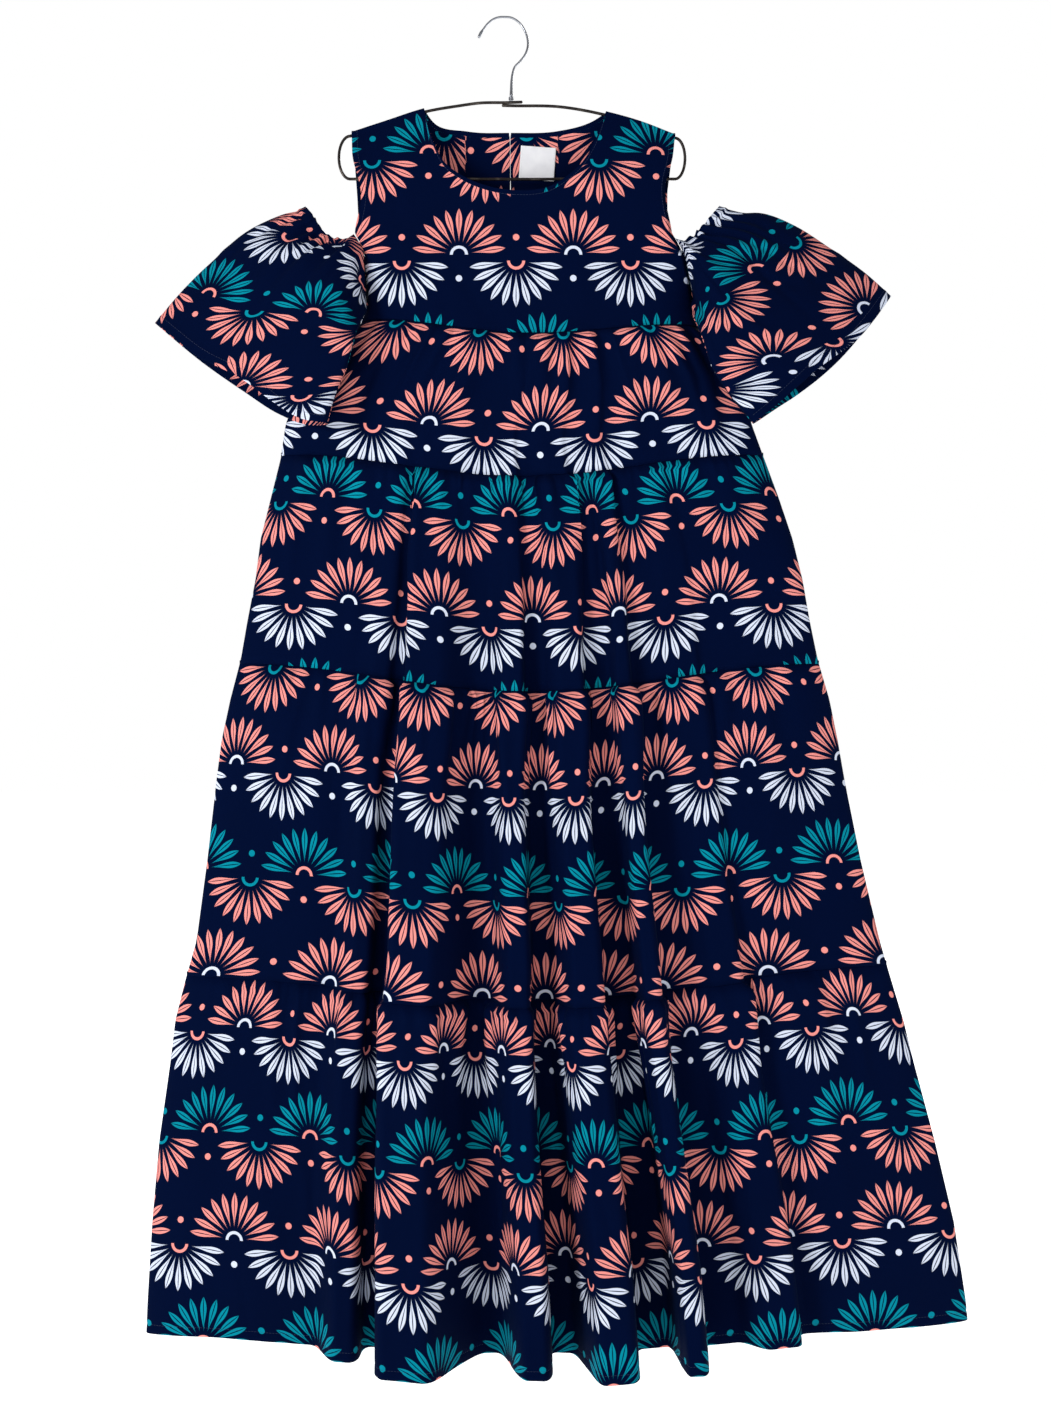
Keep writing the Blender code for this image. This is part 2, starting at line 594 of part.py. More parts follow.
def build():
    for item in list(bpy.data.objects):
        bpy.data.objects.remove(item)
    collection = bpy.data.collections.new("tiered_dress_on_hanger")
    bpy.context.scene.collection.children.link(collection)
    holder = bpy.data.objects.new("hook_crown", None)
    collection.objects.link(holder)

    for name, tier in TIERS.items():
        add_cloth(name + "_front", tier_points(tier, FRONT_FOLDS, -1), True, collection, holder)
        add_cloth(name + "_back", tier_points(tier, BACK_FOLDS, 1), False, collection, holder)

    front = yoke_points(FRONT_NECK, yoke_columns(), -1)
    add_cloth("yoke_front", front, True, collection, holder)
    add_cloth("yoke_back_left", back_yoke_points(-1), False, collection, holder)
    add_cloth("yoke_back_right", back_yoke_points(1), False, collection, holder)

    for name, sleeve in SLEEVES.items():
        points = sleeve_points(sleeve)
        add_cloth(name, points, sleeve["side"] > 0, collection, holder)

    add_cloth("label", label_points(), True, collection, holder, "label", LABEL_WALL)

    route = hanger_route()
    add_wire("hanger_wire", route, WIRE_RADIUS, np.ones(len(route)), "wire", collection, holder)
    hook = np.stack([HOOK["across"], HOOK["height"]], axis=1) * MM
    add_wire("hanger_hook", hook, HOOK_RADIUS, HOOK["swell"], "bright", collection, holder)
    add_collar(collection, holder)


build()
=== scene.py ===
import math

import bpy
import mathutils
import numpy as np
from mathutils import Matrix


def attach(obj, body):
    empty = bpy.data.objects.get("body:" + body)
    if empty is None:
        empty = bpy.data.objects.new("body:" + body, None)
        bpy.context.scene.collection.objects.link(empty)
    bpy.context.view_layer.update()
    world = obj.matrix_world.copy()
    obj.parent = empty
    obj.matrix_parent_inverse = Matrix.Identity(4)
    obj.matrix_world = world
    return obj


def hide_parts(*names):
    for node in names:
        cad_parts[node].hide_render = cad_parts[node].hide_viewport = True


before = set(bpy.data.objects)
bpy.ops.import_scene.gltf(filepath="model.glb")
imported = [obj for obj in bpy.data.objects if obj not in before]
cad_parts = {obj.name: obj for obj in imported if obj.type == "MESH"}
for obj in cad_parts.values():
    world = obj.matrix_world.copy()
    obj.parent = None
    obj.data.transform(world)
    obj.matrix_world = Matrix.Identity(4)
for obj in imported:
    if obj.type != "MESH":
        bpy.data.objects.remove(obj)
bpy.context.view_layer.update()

# Printed cotton dress in four gathered tiers on a wire hanger. The front looks towards -Y.
# "across" runs from -1 at the left side seam to 1 at the right one, and levels 1 to 5 from the
# yoke's seam to the hem. Lengths in tables are in millimetres.

mm = 0.001
cloth = dict(wall=0.5 * mm, seam=0.3 * mm, sideReturn=3 * mm)
print("frame loaded:", len(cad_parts), "solids")


def table(columns, *rows):
    # Named columns of numbers, from rows.
    return dict(zip(columns.split(), np.array(rows, float).T))


def smoothStep(t):
    # 0 below 0, 1 above 1, and three squares less two cubes between.
    t = np.clip(t, 0, 1)
    return t * t * (3 - 2 * t)


def bell(t):
    # A bell curve, e to the power of minus the square: 1 at 0, and about a third at 1.
    return np.exp(-t**2)


def lengthsAlong(line):
    # The length along a line of points from its first one to each.
    steps = np.linalg.norm(np.diff(line, axis=0), axis=1)
    return np.concatenate([[0], np.cumsum(steps)])


def curveThrough(points, share):
    # Smooth cubic pieces through a table's points, by share of the chord length.
    knots = np.stack([points["across"], points["height"]], axis=1) * mm
    along = lengthsAlong(knots)
    spans = np.diff(along)
    slopes = np.gradient(knots, along, axis=0)
    place = np.clip(share, 0, 1) * along[-1]
    i = np.clip(np.searchsorted(along, place, side="right") - 1, 0, len(spans) - 1)
    run = spans[i][..., None]
    t = ((place - along[i]) / spans[i])[..., None]
    return ((2 * t**3 - 3 * t**2 + 1) * knots[i] + (t**3 - 2 * t**2 + t) * run * slopes[i]
            + (3 * t**2 - 2 * t**3) * knots[i + 1] + (t**3 - t**2) * run * slopes[i + 1])


# Meshes.

def gridMesh(name, points, cut, outwards=True):
    # Quads between neighbours of a grid of points (rows, columns, 3), with the cut's metres as UV.
    rows, columns = points.shape[:2]
    corner = (np.arange(rows - 1)[:, None] * columns + np.arange(columns - 1)).ravel()
    quads = np.stack([corner, corner + columns, corner + columns + 1, corner + 1], axis=1)
    if not outwards:
        quads = quads[:, ::-1]
    mesh = bpy.data.meshes.new(name)
    mesh.vertices.add(rows * columns)
    mesh.vertices.foreach_set("co", points.reshape(-1).astype(np.float32))
    mesh.loops.add(quads.size)
    mesh.loops.foreach_set("vertex_index", quads.reshape(-1).astype(np.int32))
    mesh.polygons.add(len(quads))
    mesh.polygons.foreach_set("loop_start", np.arange(0, quads.size, 4, dtype=np.int32))
    mesh.update(calc_edges=True)
    layer = mesh.uv_layers.new(name="cut")
    layer.data.foreach_set("uv", cut.reshape(-1, 2)[quads.reshape(-1)].reshape(-1).astype(np.float32))
    mesh.shade_smooth()
    return mesh


def facesMesh(name, vertices, faces):
    mesh = bpy.data.meshes.new(name)
    mesh.from_pydata(vertices.reshape(-1, 3).tolist(), [], faces)
    mesh.shade_smooth()
    return mesh


def ringQuads(rings, sides):
    # Quads between neighbouring rings of points.
    i = np.arange(rings - 1)[:, None] * sides
    j = np.arange(sides)
    k = (j + 1) % sides
    return np.stack([i + j, i + k, i + sides + k, i + sides + j], axis=2).reshape(-1, 4)


def addObject(name, data):
    thing = bpy.data.objects.new(name, data)
    bpy.context.scene.collection.objects.link(thing)
    return thing


def addPiece(name, mesh, material, slot, nodes=()):
    mesh.materials.append(material)
    piece = addObject(name, mesh)
    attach(piece, "root")
    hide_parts(*nodes)
    return piece


def addCloth(name, points, cut, towardsFront, material, node, wall=cloth["wall"], slot="cloth"):
    # A thin closed shell behind a grid of outer points.
    piece = addPiece(name, gridMesh(name, points, cut, towardsFront), material, slot, [node])
    shell = piece.modifiers.new("wall", "SOLIDIFY")
    shell.thickness = wall
    shell.offset = -1
    return piece


# The skirt's form.

skirt = dict(
    outline=table(
        "height left right",
        (-354, -165.5, 219), (-384, -193, 243), (-418, -223, 268), (-453, -246, 281),
        (-470, -253, 284.5), (-511, -259, 299.5), (-557, -270.5, 316.5), (-603, -282, 332),
        (-650, -288, 343.5), (-696, -297, 351.5), (-742, -305, 361), (-788, -317, 374.5),
        (-835, -327, 384), (-881, -333, 392), (-973, -343.5, 410.5), (-1066, -356, 432.5),
        (-1112, -369, 446), (-1158, -380.5, 460), (-1205, -386, 471.5), (-1297, -399, 496),
        (-1390, -407, 518), (-1482, -412.5, 532), (-1520, -414, 535.5),
    ),
    levels=table(
        "level left middle right fullness",
        (1, -353.7, -371.1, -359.5, 28), (2, -507.5, -533.5, -507.5, 24),
        (3, -746.8, -778.4, -746.8, 22), (4, -1106.0, -1131.0, -1093.3, 20),
        (5, -1517.8, -1532.9, -1503.0, 20),
    ),
    sideRoundness=6,
    sideTaper=8,
    leanFade=0.6,
    spacingLevel=0.8,
)
foldColumns = "footLeft crestLeft crestRight footRight leanLeft leanRight two three four five"
frontFolds = table(
    foldColumns,
    (-0.60, -0.52, -0.495, -0.45, 0.2, 0.9, 2, 8, 22, 42),
    (-0.445, -0.40, -0.315, -0.17, 2.0, 0.0, 6, 30, 62, 86),
    (-0.15, -0.07, -0.035, 0.00, 0.2, 1.6, 6, 22, 48, 78),
    (0.03, 0.11, 0.165, 0.21, 0.1, 1.9, 6, 24, 52, 84),
    (0.265, 0.305, 0.33, 0.365, 0.3, 1.6, 4, 22, 46, 76),
    (0.43, 0.51, 0.56, 0.605, 0.0, 1.0, 1, 6, 18, 32),
)
backFolds = table(
    foldColumns,
    (-0.86, -0.79, -0.75, -0.70, 0.4, 1.4, 0, 10, 20, 34),
    (-0.62, -0.55, -0.50, -0.455, 0.3, 1.6, 4, 16, 30, 48),
    (-0.38, -0.33, -0.27, -0.20, 1.6, 0.3, 5, 18, 34, 52),
    (-0.12, -0.06, 0.00, 0.045, 0.4, 1.7, 4, 16, 32, 50),
    (0.11, 0.15, 0.22, 0.29, 1.6, 0.4, 5, 18, 34, 54),
    (0.36, 0.43, 0.48, 0.53, 0.5, 1.5, 4, 16, 30, 48),
    (0.63, 0.69, 0.74, 0.81, 1.3, 0.4, 0, 10, 22, 36),
)


def atLevel(column, level):
    # A column of the levels' table, straight between its rows.
    return np.interp(level, skirt["levels"]["level"], skirt["levels"][column]) * mm


def sidePlace(side, level):
    # How far out the side seam is at a level, read from the outline by height.
    name = "left" if side < 0 else "right"
    outline = skirt["outline"]
    return np.interp(-atLevel(name, level) / mm, -outline["height"], outline[name]) * mm


def skirtHeight(across, level):
    # The seams droop in the middle: middle height plus the side's rise times sin squared.
    middle = atLevel("middle", level)
    side = np.where(across < 0, atLevel("left", level), atLevel("right", level))
    return middle + (side - middle) * np.sin(math.pi * across / 2) ** 2


def sideRounding(across):
    # The root of 1 less a high power of across: 1 in the middle and 0 at the side seams.
    return np.sqrt(np.clip(1 - np.abs(across) ** skirt["sideRoundness"], 0, 1))


def foldedSection(folds, across, level):
    # Distance across and distance off the side seams' plane. Each fold rises and falls on half
    # cosines, and leans over by a whole sine along each of its sides.
    left = sidePlace(-1, level)
    right = sidePlace(1, level)
    off = cloth["sideReturn"] + atLevel("fullness", level) * sideRounding(across)
    shift = 0 * off
    for i in range(len(folds["footLeft"])):
        fold = {name: column[i] for name, column in folds.items()}
        depths = (0, fold["two"], fold["three"], fold["four"], fold["five"])
        depth = np.interp(level, skirt["levels"]["level"], depths) * mm
        rise = np.clip((across - fold["footLeft"]) / (fold["crestLeft"] - fold["footLeft"]), 0, 1)
        fall = np.clip((across - fold["crestRight"]) / (fold["footRight"] - fold["crestRight"]), 0, 1)
        off = off + depth * (1 - np.cos(math.pi * rise)) / 2 * (1 + np.cos(math.pi * fall)) / 2
        lean = (depth / mm / fold["five"]) ** skirt["leanFade"] / (2 * math.pi)
        leftSide = fold["leanLeft"] * (fold["crestLeft"] - fold["footLeft"])
        rightSide = fold["leanRight"] * (fold["footRight"] - fold["crestRight"])
        shift = shift + lean * (leftSide * np.sin(2 * math.pi * rise)
                                + rightSide * np.sin(2 * math.pi * fall))
    return (left + right) / 2 + (right - left) / 2 * (across + shift), off


def sectionNormal(x, off):
    # Outward direction of each row's section, in the plane of its distances across and off.
    alongX = np.gradient(x, axis=1)
    alongOff = np.gradient(off, axis=1)
    length = np.hypot(alongX, alongOff) + 1e-9
    return -alongOff / length, alongX / length


# Gathers and creases, as heights over the cut.

gatherForm = dict(atSeam=0.35, grownBy=12 * mm, lean=0.8, fade=1.5)


def gatherHeights(u, d, spread, random):
    # Bell-shaped ridges that start at the seam, wander a little sideways as they go down and
    # die away: height over the cut, and how far the ridges lean sideways.
    count = spread["count"]
    start = (np.arange(count) + 0.5 + spread["jitter"] * random.uniform(-1, 1, count)) / count
    centre = start * u.max()
    width = random.uniform(*spread["width"], count) * mm
    depth = random.uniform(*spread["depth"], count) * mm
    length = random.uniform(*spread["length"], count) * mm
    drift = random.uniform(-1, 1, count) * spread["drift"] * mm
    lean = random.uniform(-gatherForm["lean"], gatherForm["lean"], count)
    height = np.zeros((len(d), len(u)))
    sideways = np.zeros((len(d), len(u)))
    least = gatherForm["atSeam"]
    grown = least + (1 - least) * smoothStep(d / gatherForm["grownBy"])
    for k in range(count):
        t = np.clip(d / length[k], 0, 1)
        fade = depth[k] * (1 - t) ** gatherForm["fade"] * grown
        place = (u[None, :] - centre[k] - (drift[k] * t)[:, None]) / width[k]
        ridge = bell(place) * fade[:, None]
        height += ridge
        sideways += lean[k] * place * ridge
    return height, sideways


def creaseHeights(u, d, spread, random):
    # Long shallow ridges and dips anywhere on the cut, each a bell along and across its line.
    u = np.atleast_2d(u)
    d = np.reshape(d, (-1, 1)) if np.ndim(d) == 1 else d
    height = 0 * (u + d)
    for k in range(spread["count"]):
        angle = math.radians(spread["angle"] + random.normal() * spread["turn"])
        length = random.uniform(*spread["length"]) * mm
        width = random.uniform(*spread["width"]) * mm
        deep = random.uniform(*spread["depth"]) * mm * (1 if random.uniform() < 0.5 else -1)
        du = u - random.uniform(u.min(), u.max())
        dd = d - random.uniform(d.min(), d.max())
        along = du * math.sin(angle) + dd * math.cos(angle)
        aside = du * math.cos(angle) - dd * math.sin(angle)
        aside = aside + (spread["bend"] * mm) * np.sin(along / length * 2)
        height += deep * np.exp(-((along / length) ** 2) - (aside / width) ** 2)
    return height


# Materials.

colours = dict(
    navy=(0.0004, 0.0026, 0.0205, 1), white=(0.60, 0.655, 0.79, 1),
    coral=(0.79, 0.265, 0.238, 1), teal=(0.0015, 0.215, 0.295, 1),
)
printLayout = dict(repeat=130 * mm, pitch=119 * mm, petals=11, inner=12.5 * mm, outer=54 * mm)
printDetail = dict(rowShift=0.27, lift=3.5 * mm, ring=8.6 * mm, ringHalf=1.4 * mm, soft=0.5 * mm,
                   petalHalf=0.34, petalPeak=1.35, petalEdge=0.045, rib=0.13,
                   ribEdge=(-0.012, 0.018), spotUp=27 * mm, spot=3.4 * mm)
cottonLook = dict(cloudScale=9.0, cloudDetail=3.0, cloudRoughness=0.55, wash=0.86, washRange=0.28,
                  rough=0.74, roughRange=0.16, inkSmoother=0.06, weave=0.25, weaveHeight=0.1 * mm)


class Maker:
    # Short calls for a node tree: each takes sockets or plain values, and gives a socket back.
    def __init__(self, tree):
        self.tree = tree

    def put(self, kind, values=(), out=0, **settings):
        node = self.tree.nodes.new(kind)
        for name, value in settings.items():
            setattr(node, name, value)
        for i, value in enumerate(values):
            if isinstance(value, bpy.types.NodeSocket):
                self.link(value, node, i)
            elif value is not None:
                node.inputs[i].default_value = value
        return node.outputs[out]

    def calc(self, operation, *values):
        return self.put("ShaderNodeMath", values, operation=operation)

    def ramp(self, value, low, high):
        # 0 up to low, 1 from high, smooth between.
        return self.put("ShaderNodeMapRange", (value, low, high, 0.0, 1.0),
                        interpolation_type="SMOOTHSTEP")

    def noise(self, place, scale, detail, roughness):
        return self.put("ShaderNodeTexNoise", (place, None, scale, detail, roughness))

    def link(self, value, node, socket):
        self.tree.links.new(value, node.inputs[socket])

    def blend(self, share, first, second):
        node = self.tree.nodes.new("ShaderNodeMix")
        node.data_type = "RGBA"
        for socket, value in ((0, share), (6, first), (7, second)):
            if isinstance(value, bpy.types.NodeSocket):
                self.link(value, node, socket)
            else:
                node.inputs[socket].default_value = value
        return node.outputs[2]


def newGroup(name, inputs, outputs):
    # An empty node group with its sockets.
    group = bpy.data.node_groups.new(name, "ShaderNodeTree")
    for socketName, kind, value in inputs:
        socket = group.interface.new_socket(
            socketName, in_out="INPUT", socket_type="NodeSocket" + kind)
        if value is not None:
            socket.default_value = value
    for socketName, kind in outputs:
        group.interface.new_socket(
            socketName, in_out="OUTPUT", socket_type="NodeSocket" + kind)
    ends = [group.nodes.new(kind) for kind in ("NodeGroupInput", "NodeGroupOutput")]
    return group, Maker(group), *ends


def petalPrint():
    # Half-round flowers of leaf-shaped petals in rows: upright ones, and between them hanging ones.
    group, make, given, result = newGroup(
        "petalPrint",
        [("Place", "Vector", None), ("Repeat", "Float", printLayout["repeat"]),
         ("Pitch", "Float", printLayout["pitch"]), ("Petals", "Float", printLayout["petals"]),
         ("Inner", "Float", printLayout["inner"]), ("Outer", "Float", printLayout["outer"])],
        [("Color", "Color"), ("Ink", "Float")])
    place, repeat, pitch, petals, inner, outer = given.outputs[:6]
    split = group.nodes.new("ShaderNodeSeparateXYZ")
    make.link(place, split, 0)
    calc = make.calc
    detail = printDetail
    soft = detail["soft"]
    acrossPlace = calc("DIVIDE", split.outputs[0], repeat)
    downPlace = calc("DIVIDE", split.outputs[1], pitch)
    row = calc("FLOOR", downPlace)
    inRow = calc("MULTIPLY", calc("SUBTRACT", calc("SUBTRACT", downPlace, row), 0.5), pitch)
    second = calc("FLOORED_MODULO", row, 2.0)
    shifted = calc("ADD", acrossPlace, calc("MULTIPLY", second, detail["rowShift"]))

    def flower(side, half):
        # Distance and angle from the flower's middle. A petal's half width is a sine of its reach
        # from the inner circle to the outer one, and a rib is left bare along its middle.
        centred = calc("SUBTRACT", calc("FRACT", calc("ADD", shifted, half)), 0.5)
        px = calc("MULTIPLY", centred, repeat)
        py = calc("SUBTRACT", calc("MULTIPLY", inRow, side), detail["lift"])
        far = calc("SQRT", calc("ADD", calc("MULTIPLY", px, px), calc("MULTIPLY", py, py)))
        turned = calc("MULTIPLY", calc("DIVIDE", calc("ARCTAN2", py, px), math.pi), petals)
        aside = calc("ABSOLUTE", calc("SUBTRACT", calc("FRACT", turned), 0.5))
        reach = calc("DIVIDE", calc("SUBTRACT", far, inner), calc("SUBTRACT", outer, inner))
        reach = calc("POWER", calc("MINIMUM", calc("MAXIMUM", reach, 0.0), 1.0), detail["petalPeak"])
        swell = calc("SINE", calc("MULTIPLY", reach, math.pi))
        halfWidth = calc("MULTIPLY", swell, detail["petalHalf"])
        petal = make.ramp(calc("SUBTRACT", halfWidth, aside), 0.0, detail["petalEdge"])
        rib = calc("SUBTRACT", aside, calc("MULTIPLY", halfWidth, detail["rib"]))
        petal = calc("MULTIPLY", petal, make.ramp(rib, *detail["ribEdge"]))
        upperHalf = make.ramp(py, -soft / 2, soft / 2)
        offRing = calc("ABSOLUTE", calc("SUBTRACT", far, detail["ring"]))
        ring = make.ramp(offRing, detail["ringHalf"] + soft, detail["ringHalf"])
        away = calc("ADD", py, detail["spotUp"])
        spot = calc("SQRT", calc("ADD", calc("MULTIPLY", px, px), calc("MULTIPLY", away, away)))
        spot = make.ramp(spot, detail["spot"] + soft, detail["spot"])
        return (calc("MULTIPLY", petal, upperHalf),
                calc("MAXIMUM", calc("MULTIPLY", ring, upperHalf), spot))

    upPetal, upRing = flower(-1.0, 0.0)
    downPetal, downRing = flower(1.0, 0.5)
    upper = make.blend(second, colours["coral"], colours["teal"])
    lower = make.blend(second, colours["white"], colours["coral"])
    colour = make.blend(upPetal, colours["navy"], upper)
    colour = make.blend(upRing, colour, lower)
    colour = make.blend(downPetal, colour, lower)
    colour = make.blend(downRing, colour, upper)
    ink = calc("MAXIMUM", calc("MAXIMUM", upPetal, downPetal), calc("MAXIMUM", upRing, downRing))
    make.link(colour, result, 0)
    make.link(ink, result, 1)
    return group


def plainWeave():
    # Warp and weft as crossed sine waves over the cut, as a height from 0 to 1.
    group, make, given, result = newGroup(
        "plainWeave", [("Place", "Vector", None), ("Thread", "Float", 0.5 * mm)],
        [("Height", "Float")])
    split = group.nodes.new("ShaderNodeSeparateXYZ")
    make.link(given.outputs[0], split, 0)
    calc = make.calc
    turn = calc("DIVIDE", math.pi, given.outputs[1])
    warp = calc("SINE", calc("MULTIPLY", split.outputs[0], turn))
    weft = calc("SINE", calc("MULTIPLY", split.outputs[1], turn))
    height = calc("ADD", 0.5, calc("MULTIPLY", calc("MULTIPLY", warp, weft), 0.5))
    make.link(height, result, 0)
    return group


def newMaterial(name, **sockets):
    # A material whose shader's own sockets take the given values.
    material = bpy.data.materials.new(name)
    material.use_nodes = True
    shader = material.node_tree.nodes["Principled BSDF"]
    for socket, value in sockets.items():
        shader.inputs[socket.replace("_", " ")].default_value = value
    return material, Maker(material.node_tree), shader


def addGroup(make, group, place, **values):
    # A group laid on a place, with some of its sockets set.
    node = make.tree.nodes.new("ShaderNodeGroup")
    node.node_tree = group
    make.link(place, node, 0)
    for name, value in values.items():
        node.inputs[name].default_value = value
    return node


def addSurface(make, shader, colour, rough=None):
    make.link(colour, shader, "Base Color")
    if rough is not None:
        make.link(rough, shader, "Roughness")


def addBump(make, shader, height, strength, distance):
    bump = make.tree.nodes.new("ShaderNodeBump")
    bump.inputs["Strength"].default_value = strength
    bump.inputs["Distance"].default_value = distance
    make.link(height, bump, "Height")
    make.link(bump.outputs[0], shader, "Normal")


petalPrintGroup = petalPrint()
weaveGroup = plainWeave()


def printedCotton():
    # The print, washed out a little in clouds and smoother where there is ink, over the weave.
    look = cottonLook
    material, make, shader = newMaterial("printedCotton", Roughness=0.8, Specular_IOR_Level=0.03,
                                         Specular_Tint=(0.25, 0.65, 1, 1), Sheen_Weight=0.008,
                                         Sheen_Roughness=0.35, Sheen_Tint=(0.25, 0.65, 1, 1))
    calc = make.calc
    place = make.put("ShaderNodeUVMap", uv_map="cut")
    colour = addGroup(make, petalPrintGroup, place)
    weave = addGroup(make, weaveGroup, place)
    clouds = make.noise(place, look["cloudScale"], look["cloudDetail"], look["cloudRoughness"])
    light = calc("ADD", look["wash"], calc("MULTIPLY", clouds, look["washRange"]))
    washed = make.put("ShaderNodeHueSaturation", (0.5, 1.0, light, 1.0, colour.outputs[0]))
    rough = calc("ADD", look["rough"], calc("MULTIPLY", clouds, look["roughRange"]))
    rough = calc("SUBTRACT", rough, calc("MULTIPLY", colour.outputs[1], look["inkSmoother"]))
    addSurface(make, shader, washed, rough)
    addBump(make, shader, weave.outputs[0], look["weave"], look["weaveHeight"])
    return material


cotton = printedCotton()
print("materials ready")


# The tiers.

tiers = dict(
    tier1=dict(level=1, columns=340, rows=30, count=30, fine=62, cutStart=(0.02, 0.1815)),
    tier2=dict(level=2, columns=420, rows=34, count=38, fine=80, cutStart=(0.071, 0.1275)),
    tier3=dict(level=3, columns=520, rows=38, count=46, fine=100, cutStart=(0.034, 0.1815)),
    tier4=dict(level=4, columns=620, rows=42, count=54, fine=120, cutStart=(0.09, 0.003)),
)
tierDetail = dict(
    folds=dict(width=(7, 17), depth=(3, 9.5), length=(60, 300), drift=26, jitter=0.42),
    puckers=dict(width=(3.2, 5.2), depth=(1.0, 3.2), length=(14, 48), drift=4, jitter=0.4),
    creases=dict(count=46, angle=0, turn=22, length=(30, 110), width=(4, 11), depth=(0.3, 1.3),
                 bend=6),
    slowWaves=2.2 * mm,
    slowLengths=(21 * mm, 34 * mm, 13 * mm),
    quietTop=30 * mm,
    quietFoot=40 * mm,
    flatFoot=60 * mm,
    tuck=4 * mm,
    tuckInset=2.4 * mm,
    tuckReach=6 * mm,
    tuckTaper=0.025,
    firstWhole=4,
    hemTurn=10 * mm,
    hemDip=0.5 * mm,
    hemDipWidth=0.16,
    hemPucker=5 * mm,
    hemSway=1.6 * mm,
    hemSwayLength=47 * mm,
    rowGrading=1.3,
    backShift=0.4,
    measures=4001,
)


def rowLengths(points):
    # Each row's length from its first point, as a share of the whole row's.
    steps = np.linalg.norm(np.diff(points, axis=1), axis=2)
    run = np.concatenate([np.zeros((len(points), 1)), np.cumsum(steps, axis=1)], axis=1)
    return run / run[:, -1:]


def closeToHem(share, turn, clear):
    # The last rows of a spread give way to closer ones round the hem's turn.
    rows = np.array([1.5, 1.2, 1, 0.8, 0.5, 0.15, 0])
    return np.concatenate([share[share < 1 - clear * turn], 1 - turn * rows])


def tierSurface(tier, folds, facing, seed):
    # The folded section, carried down from the tier's seam to the next, with its columns even on
    # the cut. Gathers, creases and slow waves move each point along the section's normal.
    detail = tierDetail
    isHem = tier["level"] == 4
    random = np.random.default_rng(seed)
    fine = np.linspace(-1, 1, detail["measures"])[None, :]
    x, off = foldedSection(folds, fine, np.array([[tier["level"] + skirt["spacingLevel"]]]))
    run = lengthsAlong(np.stack([x[0], off[0]], axis=1))
    u = np.linspace(0, run[-1], tier["columns"])
    across = np.interp(u, run, fine[0])[None, :]
    tall = atLevel("middle", tier["level"]) - atLevel("middle", tier["level"] + 1)
    share = np.linspace(0, 1, tier["rows"]) ** detail["rowGrading"]
    if isHem:
        share = closeToHem(share, detail["hemTurn"] / tall, 1.7)
    share = np.concatenate([[0, 0], share])
    d = share * tall
    x, off = foldedSection(folds, across, tier["level"] + share[:, None])
    z = skirtHeight(across, tier["level"] + share[:, None])

    gathers = dict(detail["folds"], count=tier["count"])
    puckers = dict(detail["puckers"], count=tier["fine"])
    height, sideways = gatherHeights(u, d, gathers, random)
    small, smallSideways = gatherHeights(u, d, puckers, random)
    creases = creaseHeights(u, d, detail["creases"], random)
    phase = random.uniform(0, 6.28, 3)
    slow = sum(np.sin(u / wave + p) for wave, p in zip(detail["slowLengths"], phase)) / 3
    grow = (tier["level"] - 1 + share) / 4
    taper = 1 - np.abs(across) ** skirt["sideTaper"]
    quiet = smoothStep(d / detail["quietTop"])
    foot = np.ones(len(d))
    if not isHem:
        quiet = quiet * smoothStep((tall - d) / detail["quietFoot"])
        foot = smoothStep((tall - d) / detail["flatFoot"])
    height = (height + small) * taper * foot[:, None]
    waves = detail["slowWaves"] * grow[:, None] * slow
    height = height + (creases + waves) * quiet[:, None] * taper
    sideways = (sideways + smallSideways) * taper * foot[:, None]
    # The top edge is tucked behind the foot of the piece above it.
    inset = detail["tuckInset"] * (1 - smoothStep(d / detail["tuckReach"]))
    lift = np.zeros(len(d))
    lift[:2] = (detail["tuck"], detail["tuck"] / 3)
    height[:3] *= np.array([0, 0, 0.5])[:, None]
    height = height - inset[:, None] * smoothStep((1 - np.abs(across)) / detail["tuckTaper"])
    if isHem:
        fromHem = (d[-1] - d) / detail["hemTurn"]
        dip = bell((fromHem - 1) / detail["hemDipWidth"]) * detail["hemDip"]
        height = height - dip[:, None] * (1 + 0.5 * np.sin(u / detail["hemPucker"]))
        sway = np.sin(u / detail["hemSwayLength"] + phase[0])
        z = z + (share**3)[:, None] * detail["hemSway"] * sway
    normalX, normalOff = sectionNormal(x, off)
    x = x + normalX * height + normalOff * sideways
    off = off + normalOff * height - normalX * sideways
    off = np.maximum(off, cloth["seam"])
    z = z + lift[:, None]
    if not isHem:
        z[-1] += cloth["seam"] / 2
    # The print takes up each row's real length, so it closes up on the sides of every fold.
    points = np.stack([x, off, z], axis=2)
    run = rowLengths(points)
    run[:detail["firstWhole"]] = run[detail["firstWhole"]]
    cutAcross = run * u[-1] + tier["cutStart"][0] + detail["backShift"] * (facing > 0)
    cutDown = (d + tier["cutStart"][1] - lift)[:, None] + 0 * run
    cut = np.stack([cutAcross, cutDown], axis=2)
    # Each side ends in a short turn towards the other half.
    x = np.concatenate([x[:, :1], x, x[:, -1:]], axis=1)
    z = np.concatenate([z[:, :1], z, z[:, -1:]], axis=1)
    end = np.full((len(d), 1), cloth["seam"] / 2)
    off = np.concatenate([end, off, end], axis=1)
    edge = (cloth["sideReturn"], 0)
    cut = np.concatenate([cut[:, :1] - edge, cut, cut[:, -1:] + edge], axis=1)
    return np.stack([x, facing * off, z], axis=2), cut, (u[-1], tall)


